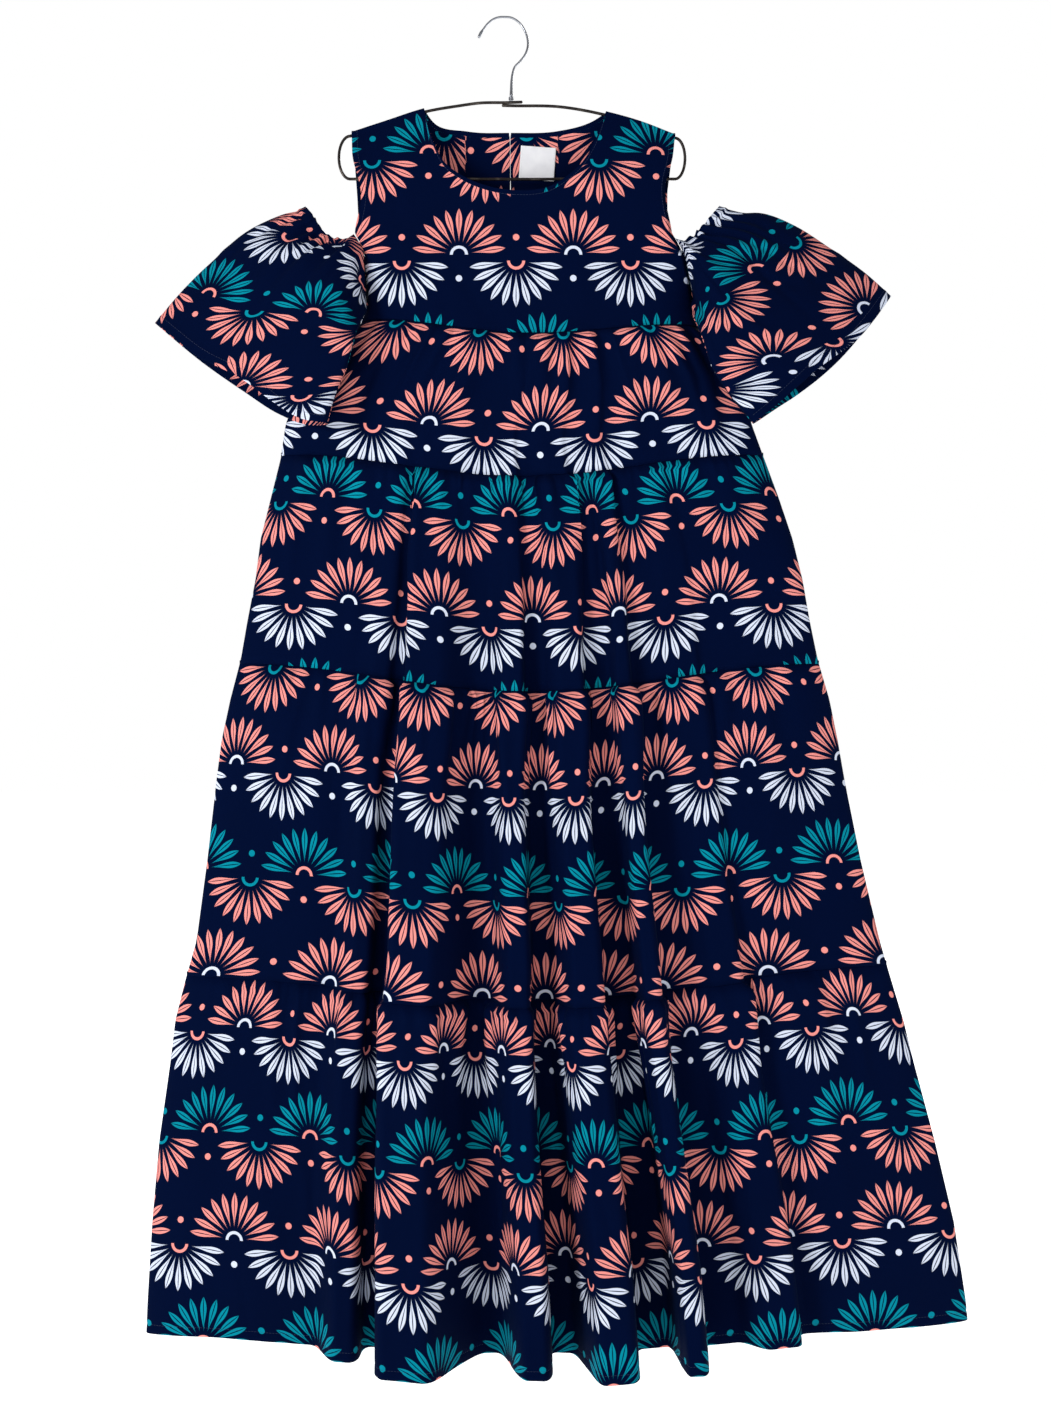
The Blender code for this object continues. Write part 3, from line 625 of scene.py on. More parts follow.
upper = dict(Front=["yokeFront"], Back=["yokeBackLeft", "yokeBackRight"])
for number, (name, tier) in enumerate(tiers.items(), 1):
    for half, folds, facing in (("Front", frontFolds, -1), ("Back", backFolds, 1)):
        points, cut, flat = tierSurface(tier, folds, facing, 10 * number + facing)
        node = f"tier_{number}_{half.lower()}"
        piece = addCloth(name + half, points, cut, facing < 0, cotton, node)
        upper[half] = [piece.name]
        tier["edge" + half] = points
    print(name, "cut", [round(float(side), 3) for side in flat])


# The yoke.

yoke = dict(
    armholes={
        -1: table("height across", (-132, -177), (-200, -173), (-257, -171), (-276, -160),
                  (-332, -158.4), (-353.7, -165.5)),
        1: table("height across", (-134, 196.5), (-195, 189.5), (-257, 190.7), (-282, 204.6),
                 (-308.6, 211.5), (-359.5, 223.4)),
    },
    armholeCloses={-1: (-262 * mm, -343 * mm), 1: (-262 * mm, -348 * mm)},
    armBulge=3,
    frontInset={-1: 8.5 * mm, 1: 6.5 * mm},
    insetHeights=(-158 * mm, -264 * mm),
    neckShare=0.563,
    frontNeck=table("across height", (-93.6, -105), (-81, -151), (-68, -175), (-50, -189), (8, -207),
                    (55, -201), (69, -192), (89, -173), (100, -155), (116.8, -108.5)),
    backNeck=table("across height", (-93.6, -105), (-82, -118.5), (-42, -126.5), (8, -128),
                   (62, -126.5), (101, -117), (116.8, -108.5)),
    depth=31 * mm,
    ease=75 * mm,
    shoulderRise=4 * mm,
    bowEnds=20 * mm,
    # Rows over the wire: how far they stand off and drop on the shoulders, how far they stand off
    # at the neck points, and how far they drop round the neck.
    turn=table("offset drop neckPoint neckDrop", (0.15, 0, 1.2, 0), (0.9, 0, 1.5, 0.4),
               (1.6, 0.1, 1.9, 0.9), (2.5, 0.5, 2.5, 1.5), (3.2, 1.0, 3.0, 2.2), (3.6, 1.6, 3.5, 3.0),
               (4.0, 2.8, 3.9, 4.0), (4.2, 4.5, 4.2, 5.2)),
    standOff=table("offset drop", (1.6, 0), (3.6, 1.5), (4.2, 4.5)),
    shoulderColumns=26,
    neckColumns=130,
    rows=56,
    firstRow=0.036,
    underEdge=0.04 * mm,
    quiet=dict(top=12 * mm, topOver=30 * mm, foot=3 * mm, footOver=16 * mm, side=0.07),
    neckStitch=dict(down=6.5 * mm, width=1.1 * mm, deep=0.35 * mm),
    binding=dict(middle=12 * mm, reach=103 * mm, cut=0.1165, slant=6 * mm, slantFrom=38 * mm,
                 slantOver=10 * mm),
    slit=0.3 * mm,
    slitOpens=table("height over by", (-196, 12, 0.6), (-128, 4.5, 1.8)),
    slitFoot=-280 * mm,
    slitPlace=7.5 * mm,
    slitUpright=dict(until=0.72, across=0.5),
    tucks=((-46 * mm, -1, 34 * mm), (62 * mm, 1, 41 * mm)),
    creases=dict(count=34, angle=0, turn=34, length=(25, 70), width=(5, 13), depth=(0.25, 0.9),
                 bend=5),
    drawn=dict(count=24, width=(4, 9), depth=(0.3, 1.1), length=(20, 60), drift=8, jitter=0.4),
    drawnShare=0.5,
    frontCut=(0.507, 0.012),
    backCut=(0.46, 0.055),
    frontSeed=71,
    backSeeds={-1: 72, 1: 74},
)
bows = {
    -1: table("across height", (-179, -136.5), (-135, -122), (-93.6, -108.7), (-52, -101.3),
              (-30, -98.3), (2.3, -97.7), (20.5, -97.1)),
    1: table("across height", (-3.8, -101.1), (8, -101.4), (63, -102.6), (116.8, -112.2),
             (156, -123.1), (196.5, -138.7)),
}


def shoulderHeight(x):
    # The shoulder seam's height over the wire, and the line it would follow across the neck.
    left = curveThrough(bows[-1], np.linspace(0, 1, 40))
    right = curveThrough(bows[1], np.linspace(0, 1, 40))
    line = np.vstack([left[left[:, 0] < -yoke["bowEnds"]], right[right[:, 0] > yoke["bowEnds"]]])
    return np.interp(x, line[:, 0], line[:, 1]) + yoke["shoulderRise"]


def armholePlace(side, height):
    # How far out the yoke's free edge is at a height.
    arm = yoke["armholes"][side]
    return np.interp(-height, -arm["height"] * mm, arm["across"] * mm)


def yokeOff(x, z, footHeight):
    # Off the hanger's plane: over the wire as in the table, and from there to the whole depth by 1
    # less a falling power of e, so quickly at first and then ever more gently.
    turn = yoke["standOff"]["drop"][-1] * mm
    below = shoulderHeight(x) - z
    start = np.interp(below, yoke["standOff"]["drop"] * mm, yoke["standOff"]["offset"] * mm)
    whole = shoulderHeight(x) - footHeight
    share = 1 - np.exp(-np.clip(below - turn, 0, None) / yoke["ease"])
    share = share / (1 - np.exp(-(whole - turn) / yoke["ease"]))
    return start + (yoke["depth"] - start) * share


def yokeTop(neck, across):
    # The upper edge: along the shoulders, and round the neck between them.
    tips = [armholePlace(side, yoke["armholes"][side]["height"][0] * mm) for side in (-1, 1)]
    points = [neck["across"][0] * mm, neck["across"][-1] * mm]
    neckShare = yoke["neckShare"]
    x = np.interp(across, [-1, -neckShare, neckShare, 1], [tips[0], *points, tips[1]])
    inner = np.clip(x, tips[0] + cloth["sideReturn"], tips[1] - cloth["sideReturn"])
    edge = np.stack([x, shoulderHeight(inner)], axis=1)
    inNeck = np.abs(across) < neckShare - 1e-6
    edge[inNeck] = curveThrough(neck, (across[inNeck] + neckShare) / (2 * neckShare))
    return edge, inNeck


def yokeColumns():
    # Even columns along each shoulder and round the neck, with one at each neck point.
    shoulder = np.linspace(-1, -yoke["neckShare"], yoke["shoulderColumns"] + 1)
    neck = yoke["neckShare"] * np.linspace(-1, 1, yoke["neckColumns"] + 1)
    return np.concatenate([shoulder[:-1], neck, -shoulder[:-1][::-1]])


def yokeSurface(neck, across, facing, shares, random=None):
    # Rows turn over the wire, and then run evenly from the upper edge to the first seam. The free
    # edges turn flat at the arms, and in towards the other half where the sides are sewn.
    top, inNeck = yokeTop(neck, across)
    corners, _ = yokeTop(neck, np.array([-1.0, 1.0]))
    footX, footOff = foldedSection(frontFolds, across[None, :], np.array([[1.0]]))
    footX, footOff = footX[0], footOff[0]
    footZ = skirtHeight(across, 1) + cloth["seam"] / 2
    atPoint = np.abs(np.abs(across) - yoke["neckShare"]) < 1e-6
    turn = {name: column[:, None] * mm for name, column in yoke["turn"].items()}
    turned = len(turn["drop"]) if random is not None else 0
    share = np.concatenate([np.zeros(turned), shares])[:, None]
    x = (1 - share) * top[:, 0] + share * footX
    z = (1 - share) * top[:, 1] + share * footZ
    if facing > 0:
        # The back's columns are drawn over beside the slit, which hangs upright.
        slit = yoke["slitUpright"]
        neckMiddle = np.mean(yoke["backNeck"]["across"][[0, -1]]) * mm
        middle = (1 - share) * neckMiddle + share * (sidePlace(-1, 1) + sidePlace(1, 1)) / 2
        upright = 1 - smoothStep((share - slit["until"]) / (1 - slit["until"]))
        beside = 1 - smoothStep(np.abs(across) / slit["across"])
        x = x + (yoke["slitPlace"] - middle) * upright * beside
    closing = np.zeros_like(x)
    for i, side in enumerate((-1, 1)):
        ends = (sidePlace(side, 1), atLevel("left" if side < 0 else "right", 1))
        cornerX = (1 - share) * corners[i][0] + share * ends[0]
        cornerZ = (1 - share) * corners[i][1] + share * ends[1]
        bulge = (armholePlace(side, cornerZ) - cornerX) * (share > 0)
        opening, closed = yoke["armholeCloses"][side]
        here = across * side > 0
        if facing < 0:
            # The front's arm edge lies a little inside the back's, so a strip of the back shows.
            high, low = yoke["insetHeights"]
            bulge = bulge - side * yoke["frontInset"][side] * np.sin(
                math.pi * np.clip((high - cornerZ) / (high - low), 0, 1)) ** 2
        x = x + np.where(here, bulge * np.abs(across) ** yoke["armBulge"], 0)
        close = smoothStep((opening - cornerZ) / (opening - closed))
        closing = np.where(here, close, closing)
    if turned:
        # Round the neck the body's first row follows close under the bound edge.
        x[turned] = np.where(inNeck, x[0], x[turned])
        underEdge = top[:, 1] - turn["neckDrop"][-1] - yoke["underEdge"]
        z[turned] = np.where(inNeck, underEdge, z[turned])
        z[:turned] -= np.where(inNeck, turn["neckDrop"], turn["drop"])
    off = yokeOff(x, z, footZ)
    sewn = cloth["sideReturn"] + (off - cloth["sideReturn"]) * sideRounding(across)
    off = np.where(share == 1, footOff, (1 - closing) * off + closing * sewn)
    if turned:
        off[:turned] = np.where(inNeck, off[:turned], turn["offset"])
        off[:turned] = np.where(atPoint, turn["neckPoint"], off[:turned])
        fromTop = top[:, 1] - z
        fromFoot = z - footZ
        still = yoke["quiet"]
        quiet = smoothStep((fromTop - still["top"]) / still["topOver"])
        quiet = quiet * smoothStep((fromFoot - still["foot"]) / still["footOver"])
        quiet = quiet * smoothStep((1 - np.abs(across)) / still["side"])
        height = creaseHeights(x, -z, yoke["creases"], random) * quiet
        drawnUp = fromFoot[:, len(across) // 2]
        seamed, _ = gatherHeights(footX - footX.min(), drawnUp, yoke["drawn"], random)
        height = height + seamed * yoke["drawnShare"] * quiet
        # A groove where the neck's edge is stitched down.
        stitch = yoke["neckStitch"]
        groove = bell((fromTop - stitch["down"]) / stitch["width"])
        height = height - stitch["deep"] * groove * inNeck
        off = off + height
    turnIn = closing * math.pi / 2
    flange = cloth["sideReturn"] - cloth["seam"] / 2
    columns = [np.stack([x, off, z], axis=2)]
    for side, end in ((-1, 0), (1, -1)):
        if across[end] * side == 1:
            columns[len(columns) // 2][:, end, 0] -= side * flange * np.cos(turnIn[:, end])
            inwards = off[:, end] - flange * np.sin(turnIn[:, end])
            outer = np.stack([x[:, end], inwards, z[:, end]], axis=1)
            columns = [outer[:, None], *columns] if side < 0 else [*columns, outer[:, None]]
    points = np.concatenate(columns, axis=1)
    points[:, :, 1] *= facing
    return points


def yokeCut(points, start, back=False):
    # The yoke hangs nearly flat, so its cut is read straight from the front. Round the neck the
    # print runs along the edge, and the back takes in some cloth at each of its two tucks.
    cut = np.stack([points[:, :, 0] + start[0], start[1] - points[:, :, 2]], axis=2)
    if back:
        for place, side, taken in yoke["tucks"]:
            cut[:, :, 0] += side * taken * ((points[:, :, 0] - place) * side > 0)
    bound = len(yoke["turn"]["drop"])
    binding = yoke["binding"]
    place = points[0, :, 0]
    neck = np.abs(place - binding["middle"]) < binding["reach"]
    edge = lengthsAlong(points[0])
    # On the right of the front the binding takes in the tips of some petals.
    slant = smoothStep((place - binding["slantFrom"]) / binding["slantOver"])
    slant = binding["slant"] * slant * (1 - back)
    down = yoke["turn"]["neckDrop"][:, None] * mm + binding["cut"] + slant
    band = np.stack([np.broadcast_to(edge, (bound, len(edge))), down], axis=2)
    cut[:bound, neck] = band[:, neck]
    return cut


yokeShares = np.linspace(yoke["firstRow"], 1, yoke["rows"])
random = np.random.default_rng(yoke["frontSeed"])
front = yokeSurface(yoke["frontNeck"], yokeColumns(), -1, yokeShares, random)
cut = yokeCut(front, yoke["frontCut"])
yokeFront = addCloth("yokeFront", front, cut, True, cotton, "yoke_front")
backs = {}
for side, name in ((-1, "Left"), (1, "Right")):
    across = yokeColumns()
    across = across[across * side >= -1e-9]
    random = np.random.default_rng(yoke["backSeeds"][side])
    points = yokeSurface(yoke["backNeck"], across, 1, yokeShares, random)
    middle = -1 if side < 0 else 0
    # The slit opens a little more at its top and near its middle.
    opens = {column: values * mm for column, values in yoke["slitOpens"].items()}
    bells = bell((points[:, middle, 2:] - opens["height"]) / opens["over"])
    gap = yoke["slit"] + (bells * opens["by"]).sum(axis=1)
    gap = np.where(points[:, middle, 2] > yoke["slitFoot"], gap, cloth["seam"]) / 2
    points[:, middle, 0] += side * gap
    backs[side] = points
    cut = yokeCut(points, yoke["backCut"], True)
    node = "yoke_back_" + name.lower()
    piece = addCloth("yokeBack" + name, points, cut, False, cotton, node)
print("yoke ready")


# The sleeves.

sleeves = dict(
    shape=dict(edge=0.58, halfDepth=22 * mm, forward=62 * mm, forwardBy=0.45, clearance=0.8 * mm,
               forwardBend=2.2, topRow=0.56, armpitRow=0.9, rows=44, rowGrading=1.25,
               freeColumns=120, columnGrading=1.4, sewnColumns=50, hemRow=0.045, hemRise=9 * mm,
               riseFrom=0.25, riseOver=0.7, sink=7 * mm, sinkBy=45 * mm, sinkSide=0.42),
    areaShare=0.84,
    quietTop=30 * mm,
    gathered=dict(until=0.46, over=0.18, seam=0.06, quiet=0.35, sewnFlat=14 * mm),
    casing=dict(down=7 * mm, width=2 * mm, deep=1.6 * mm),
    ruffle=dict(high=3.6 * mm, smooth=13, down=16 * mm),
    cut=dict(top=0.8, bow=0.10),
    folds=dict(count=22, width=(5, 11), depth=(4, 10), length=(60, 220), drift=26, jitter=0.42),
    puckers=dict(count=50, width=(2.8, 4.2), depth=(1.2, 3.0), length=(12, 60), drift=6, jitter=0.38),
    creases=dict(count=30, angle=0, turn=30, length=(20, 70), width=(4, 10), depth=(0.4, 1.6),
                 bend=5),
    hemTurn=9 * mm,
    hemDip=dict(width=0.2, deep=0.4 * mm),
    left=dict(
        side=-1, seed=41, cutStart=(0.31, 0.02), cutTurn=-0.15,
        edge=table("across height", (-231.5, -216.2), (-216.2, -235.8), (-202.3, -252.0),
                   (-185.0, -257.2), (-172.2, -258.4)),
        fold=table("across height", (-231.5, -216.2), (-261.3, -227.7), (-304.0, -250.9),
                   (-337.6, -279.8), (-372.2, -314.4), (-404.6, -352.6)),
        underarm=table("across height", (-159.5, -331.8), (-159.2, -337), (-158.6, -344), (-160, -355),
                       (-164, -370), (-170, -395), (-175, -415), (-188.4, -448.5), (-197.7, -480.4)),
        hem=table("across height", (-404.6, -352.6), (-350.3, -397.7), (-300.6, -433.5),
                  (-255.5, -463.6), (-223.1, -477.4), (-197.7, -480.4)),
    ),
    right=dict(
        side=1, seed=43, cutStart=(0.27, 0.085), cutTurn=0.12,
        edge=table("across height", (248.1, -218.0), (234.7, -231.2), (220.8, -243.9),
                   (206.9, -254.9), (192.5, -258.9)),
        fold=table("across height", (248.1, -218.0), (276.3, -222.6), (304.0, -226.6),
                   (334.1, -239.3), (374.5, -265.3), (415.0, -293.6), (446.2, -321.4)),
        underarm=table("across height", (217.4, -337), (216.8, -342), (214.5, -350), (216, -363),
                       (221, -384), (229, -412), (249, -445), (277.9, -480.0)),
        hem=table("across height", (446.2, -321.4), (420.0, -356.4), (383.0, -398.9),
                  (338.2, -437.1), (305.1, -460.2), (277.9, -480.0)),
    ),
)


def yokeRim(side):
    # The yoke's edge where the sleeve is sewn to it: distance across, off and height.
    shape = sleeves["shape"]
    shares = np.linspace(shape["topRow"], shape["armpitRow"], shape["sewnColumns"] + 1)
    rim = yokeSurface(yoke["frontNeck"], yokeColumns(), -1, shares)
    main, outer = (1, 0) if side < 0 else (-2, -1)
    across = rim[:, outer, 0] + side * shape["clearance"]
    return np.stack([across, -rim[:, main, 1], rim[:, main, 2]], axis=1)


def gridNormals(points):
    # Each point's normal is the cross product of its steps along the columns and the rows.
    normal = np.cross(np.gradient(points, axis=1), np.gradient(points, axis=0))
    return normal / (np.linalg.norm(normal, axis=2, keepdims=True) + 1e-12)


def sleeveSurface(sleeve):
    # A sheet spanned between its gathered top, its hem, the outer fold and the underarm seam, laid
    # double: each point goes half the sleeve's depth forwards or back from the middle sheet.
    shape = sleeves["shape"]
    random = np.random.default_rng(sleeve["seed"])
    rim = yokeRim(sleeve["side"])
    free = np.linspace(0, 1, shape["freeColumns"] + 1) ** shape["columnGrading"]
    edge = curveThrough(sleeve["edge"], free)
    edge = edge + (rim[0, [0, 2]] - edge[-1]) * free[:, None]
    rounded = rim[0, 1] * np.sqrt(1 - (1 - free) ** 2)
    w = np.concatenate([free * shape["edge"], np.linspace(shape["edge"], 1, len(rim))[1:]])
    top = np.vstack([edge, rim[1:, [0, 2]]])
    topDepth = np.concatenate([rounded, rim[1:, 1]])
    hem = curveThrough(sleeve["hem"], w)
    rounding = np.sqrt(np.clip(1 - (2 * w - 1) ** 2, 0, 1))
    hemDepth = cloth["sideReturn"] * w + shape["halfDepth"] * rounding
    t = np.linspace(0, 1, shape["rows"]) ** shape["rowGrading"]
    t = closeToHem(t, shape["hemRow"], 1.6)
    start = np.array([0.0])
    fold = curveThrough(sleeve["fold"], t)
    fold = fold + (1 - t)[:, None] * (top[0] - curveThrough(sleeve["fold"], start))
    under = curveThrough(sleeve["underarm"], t)
    under = under + (1 - t)[:, None] * (top[-1] - curveThrough(sleeve["underarm"], start))
    v = t[:, None, None]
    u = w[None, :, None]
    flat = (1 - v) * top + v * hem + (1 - u) * fold[:, None] + u * under[:, None]
    flat = flat - (1 - v) * ((1 - u) * top[0] + u * top[-1])
    flat = flat - v * ((1 - u) * hem[0] + u * hem[-1])
    t = t[:, None]
    ahead = 1 - (1 - np.clip(t / shape["forwardBy"], 0, 1)) ** shape["forwardBend"]
    middle = -shape["forward"] * w * ahead
    half = (1 - t) ** 2 * topDepth + (1 - (1 - t) ** 2) * hemDepth
    # The front's hem lies a little higher, so the inside of the back shows under it.
    rise = np.clip((w - shape["riseFrom"]) / shape["riseOver"], 0, 1)
    rise = np.sin(math.pi * rise) ** 2 * t**2 * shape["hemRise"]
    frontHalf = np.stack([flat[:, :, 0], middle - half, flat[:, :, 1] + rise], axis=2)
    backHalf = np.stack([flat[:, :, 0], middle + half, flat[:, :, 1]], axis=2)
    points = np.concatenate([frontHalf[:, ::-1], backHalf[:, 1:]], axis=1)

    steps = np.linalg.norm(np.diff(points, axis=1), axis=2)
    u = np.concatenate([[0], np.cumsum(steps[-1])])
    down = np.linalg.norm(np.diff(points, axis=0), axis=2)
    d = np.concatenate([[0], np.cumsum(down[:, len(w) // 2])])
    # Each column's own length up from the hem.
    fromFoot = np.cumsum(down[::-1], axis=0)[::-1]
    fromFoot = np.vstack([fromFoot, 0 * fromFoot[:1]])
    height, _ = gatherHeights(u, d, sleeves["folds"], random)
    fine, _ = gatherHeights(u, d, sleeves["puckers"], random)
    creases = creaseHeights(u, d, sleeves["creases"], random)
    creases = creases * smoothStep(d / sleeves["quietTop"])[:, None]
    gathered = sleeves["gathered"]
    fromFold = np.abs(u / u[-1] - 0.5) * 2
    onEdge = 1 - smoothStep((fromFold - gathered["until"]) / gathered["over"])
    taper = smoothStep((1 - fromFold) / gathered["seam"])
    quiet = gathered["quiet"]
    height = (height * (quiet + (1 - quiet) * onEdge) + fine * onEdge) + creases
    # The sewn part of the top lies flat on its seam.
    sewn = (1 - onEdge) * smoothStep(d / gathered["sewnFlat"])[:, None]
    height = height * taper * (onEdge + sewn)
    casing = sleeves["casing"]
    pressed = bell((d - casing["down"]) / casing["width"])[:, None] * onEdge
    height = height - casing["deep"] * pressed
    ruffle = sleeves["ruffle"]
    smooth = np.hanning(ruffle["smooth"]) / ((ruffle["smooth"] - 1) / 2)
    frill = np.convolve(random.uniform(-1, 1, len(u)), smooth, "same")
    frill = frill * ruffle["high"] * onEdge * taper
    points[:, :, 2] += frill * (1 - smoothStep(d / ruffle["down"]))[:, None]
    fromHem = (d[-1] - d) / sleeves["hemTurn"]
    dip = sleeves["hemDip"]
    height = height - dip["deep"] * bell((fromHem - 1) / dip["width"])[:, None]
    normal = gridNormals(points) * sleeve["side"]
    points = points + normal * height[:, :, None]
    # The gathered edge sinks towards the yoke.
    sink = shape["sink"] * onEdge * smoothStep(fromFold / shape["sinkSide"])
    points[:, :, 2] -= sink * (1 - smoothStep(d / shape["sinkBy"]))[:, None]
    # The cut opens out evenly towards the hem, and is a little turned against the print.
    opens = sleeves["cut"]
    span = (rowLengths(points) - 0.5) * u[-1]
    bow = opens["bow"] * (span / span[-1, -1]) ** 2 * t
    across = span * (opens["top"] + (1 - opens["top"]) * t)
    down = d[-1] - fromFoot + bow
    cosine, sine = math.cos(sleeve["cutTurn"]), math.sin(sleeve["cutTurn"])
    cut = np.stack([across * cosine - down * sine, across * sine + down * cosine], axis=2)
    cut = cut + sleeve["cutStart"]
    # The underarm seam: each side ends in a short turn towards the other.
    near = points[:, :1].copy()
    far = points[:, -1:].copy()
    seamPlace = (near[:, :, 1] + far[:, :, 1]) / 2
    near[:, :, 1] = seamPlace - cloth["seam"] / 2
    far[:, :, 1] = seamPlace + cloth["seam"] / 2
    points = np.concatenate([near, points, far], axis=1)
    cut = np.concatenate([cut[:, :1], cut, cut[:, -1:]], axis=1)
    return points, cut, (u[-1], d[-1])


for name in ("left", "right"):
    sleeve = sleeves[name]
    points, cut, flat = sleeveSurface(sleeve)
    sleeve["points"] = points
    piece = addCloth("sleeve" + name.title(), points, cut, sleeve["side"] > 0, cotton,
                     "sleeve_" + name)
    print("sleeve", name, "cut", [round(float(side), 3) for side in flat])


# The label.

label = dict(middle=(37.6 * mm, -162.3 * mm), size=(41 * mm, 37 * mm), turn=math.radians(-4),
             wall=0.35 * mm, lift=0.5 * mm, clear=1.2 * mm, curl=1.2 * mm, columns=40, rows=36,
             pucker=0.15 * mm, puckerLength=2.1 * mm, puckerIn=0.06)
tapeLook = dict(thread=0.35 * mm, weave=0.4, weaveHeight=0.08 * mm, cloudScale=60.0,
                dark=(0.62, 0.62, 0.66, 1), pale=(0.84, 0.84, 0.86, 1))


def labelMaterial():
    # Pale woven tape, a little uneven in shade.
    look = tapeLook
    material, make, shader = newMaterial("wovenLabel", Roughness=0.55, Sheen_Weight=0.2)
    place = make.put("ShaderNodeUVMap", uv_map="cut")
    weave = addGroup(make, weaveGroup, place, Thread=look["thread"])
    clouds = make.noise(place, look["cloudScale"], 2.0, 0.5)
    addSurface(make, shader, make.blend(clouds, look["dark"], look["pale"]))
    addBump(make, shader, weave.outputs[0], look["weave"], look["weaveHeight"])
    return material


def labelSurface():
    # A small flat rectangle laid on the inside of the back yoke, its lower corners lifting.
    across, down = np.meshgrid(np.linspace(-0.5, 0.5, label["columns"]),
                               np.linspace(0.5, -0.5, label["rows"]))
    flatX = across * label["size"][0]
    flatZ = down * label["size"][1]
    x = label["middle"][0] + flatX * math.cos(label["turn"]) - flatZ * math.sin(label["turn"])
    z = label["middle"][1] + flatX * math.sin(label["turn"]) + flatZ * math.cos(label["turn"])
    clear = cloth["wall"] + label["lift"] + label["wall"] + label["clear"]
    y = yokeOff(x, z, atLevel("middle", 1)) - clear
    y = y - label["curl"] * (2 * np.abs(across)) ** 3 * np.clip(0.5 - down, 0, 1) ** 2
    edge = np.minimum(0.5 - np.abs(across), 0.5 - np.abs(down))
    pucker = np.sin(flatX / label["puckerLength"]) * np.exp(-edge / label["puckerIn"])
    y = y - label["pucker"] * pucker
    return np.stack([x, y, z], axis=2), np.stack([flatX, -flatZ], axis=2)


labelPoints, cut = labelSurface()
labelPiece = addCloth("wovenLabel", labelPoints, cut, True, labelMaterial(), "label",
                      label["wall"], "label")
print("label ready")


# The hanger.

hanger = dict(
    wireRadius=1.65 * mm, hookRadius=1.2 * mm, collarRadius=3.0 * mm, collarTop=-91.5 * mm,
    collarFoot=-95.2 * mm, barHeight=-186.1 * mm, reach={-1: 13 * mm, 1: 11.6 * mm},
    bowPoints=70, loopPoints=40, barPoints=58, barWave=0.25 * mm, hookPoints=160, sides=16,
    cap=dict(length=0.9, rings=5, clear=1.2), collarSides=28, collarSharp=math.radians(50),
    collar=table("share radius", (0, 0.8), (0.04, 0.93), (0.12, 1), (0.3, 1), (0.36, 0.92), (0.42, 1),
                 (0.6, 1), (0.66, 0.92), (0.72, 1), (0.9, 1), (0.97, 0.93), (1, 0.8)),
    hook=table(
        "across height swell",
        (-30.4, -23.1, 1.5), (-28.0, -17.6, 1.5), (-25.0, -13.0, 1), (-20.0, -6.6, 1),
        (-14.0, -1.7, 1), (-7.5, 0.8, 1), (0, 1.2, 1), (7.4, 0.4, 1), (13.0, -2.5, 1),
        (18.5, -7.5, 1), (23.0, -15.0, 1), (26.0, -24.0, 1), (26.3, -33.0, 1), (22.8, -43.0, 1),
        (17.0, -50.5, 1), (11.0, -57.0, 1), (9.0, -63.0, 1), (7.8, -71.0, 1.15), (7.4, -84.0, 1.5),
        (7.2, -91.2, 1.7),
    ),
)
wireLook = dict(specks=900.0, rubs=55.0, rubEdge=(0.52, 0.68), bump=0.12, bumpHeight=0.05 * mm)
wires = dict(
    darkWire=((0.034, 0.029, 0.028, 1), (0.16, 0.14, 0.12, 1), 0.30, 0.25),
    brightWire=((0.30, 0.315, 0.35, 1), (0.15, 0.14, 0.14, 1), 0.16, 0.2),
)


def tubeMesh(name, path, radius, sides):
    # A circle carried along a path in the hanger's plane, closed by rounded ends. Each ring lies
    # across the path's direction, and the last few at either end shrink as on a ball.
    along = lengthsAlong(path)
    cap = radius[0] * hanger["cap"]["length"]
    bends = np.linspace(0, 1, hanger["cap"]["rings"] + 1)[1:]
    ends = cap * (1 - np.cos(bends * math.pi / 2))
    clear = cap * hanger["cap"]["clear"]
    plain = along[(along > clear) & (along < along[-1] - clear)]
    places = np.concatenate([ends, plain, along[-1] - ends[::-1]])
    x = np.interp(places, along, path[:, 0])
    z = np.interp(places, along, path[:, 1])
    thick = np.interp(places, along, radius)
    inner = np.minimum(places, along[-1] - places)
    thick = thick * np.sqrt(np.clip(1 - np.clip(1 - inner / cap, 0, 1) ** 2, 0, 1))
    tangent = np.stack([np.gradient(x), np.gradient(z)], axis=1)
    tangent /= np.linalg.norm(tangent, axis=1)[:, None]
    turn = np.linspace(0, 2 * math.pi, sides, endpoint=False)
    aside = thick[:, None] * np.cos(turn)
    rings = np.stack([x[:, None] - tangent[:, 1:] * aside, thick[:, None] * np.sin(turn),
                      z[:, None] + tangent[:, :1] * aside], axis=2)
    poles = np.array([(path[0, 0], 0, path[0, 1]), (path[-1, 0], 0, path[-1, 1])])
    vertices = np.vstack([rings.reshape(-1, 3), poles])
    faces = ringQuads(len(places), sides)[:, [0, 3, 2, 1]].tolist()
    j = np.arange(sides)
    k = (j + 1) % sides
    last = (len(places) - 1) * sides
    faces += np.stack([j, k, np.full(sides, len(vertices) - 2)], axis=1).tolist()
    faces += np.stack([last + k, last + j, np.full(sides, len(vertices) - 1)], axis=1).tolist()
    return facesMesh(name, vertices, faces)


def turnedMesh(name, across, profile, sides):
    # A profile of radius and height turned about an upright axis.
    turn = np.linspace(0, 2 * math.pi, sides, endpoint=False)
    radius = profile[:, 0][:, None]
    height = profile[:, 1][:, None] + 0 * turn
    rings = np.stack([across + radius * np.cos(turn), radius * np.sin(turn), height], axis=2)
    j = np.arange(sides)
    ends = [j[::-1].tolist(), (j + (len(profile) - 1) * sides).tolist()]
    mesh = facesMesh(name, rings, ringQuads(len(profile), sides).tolist() + ends)
    mesh.set_sharp_from_angle(angle=hanger["collarSharp"])
    return mesh


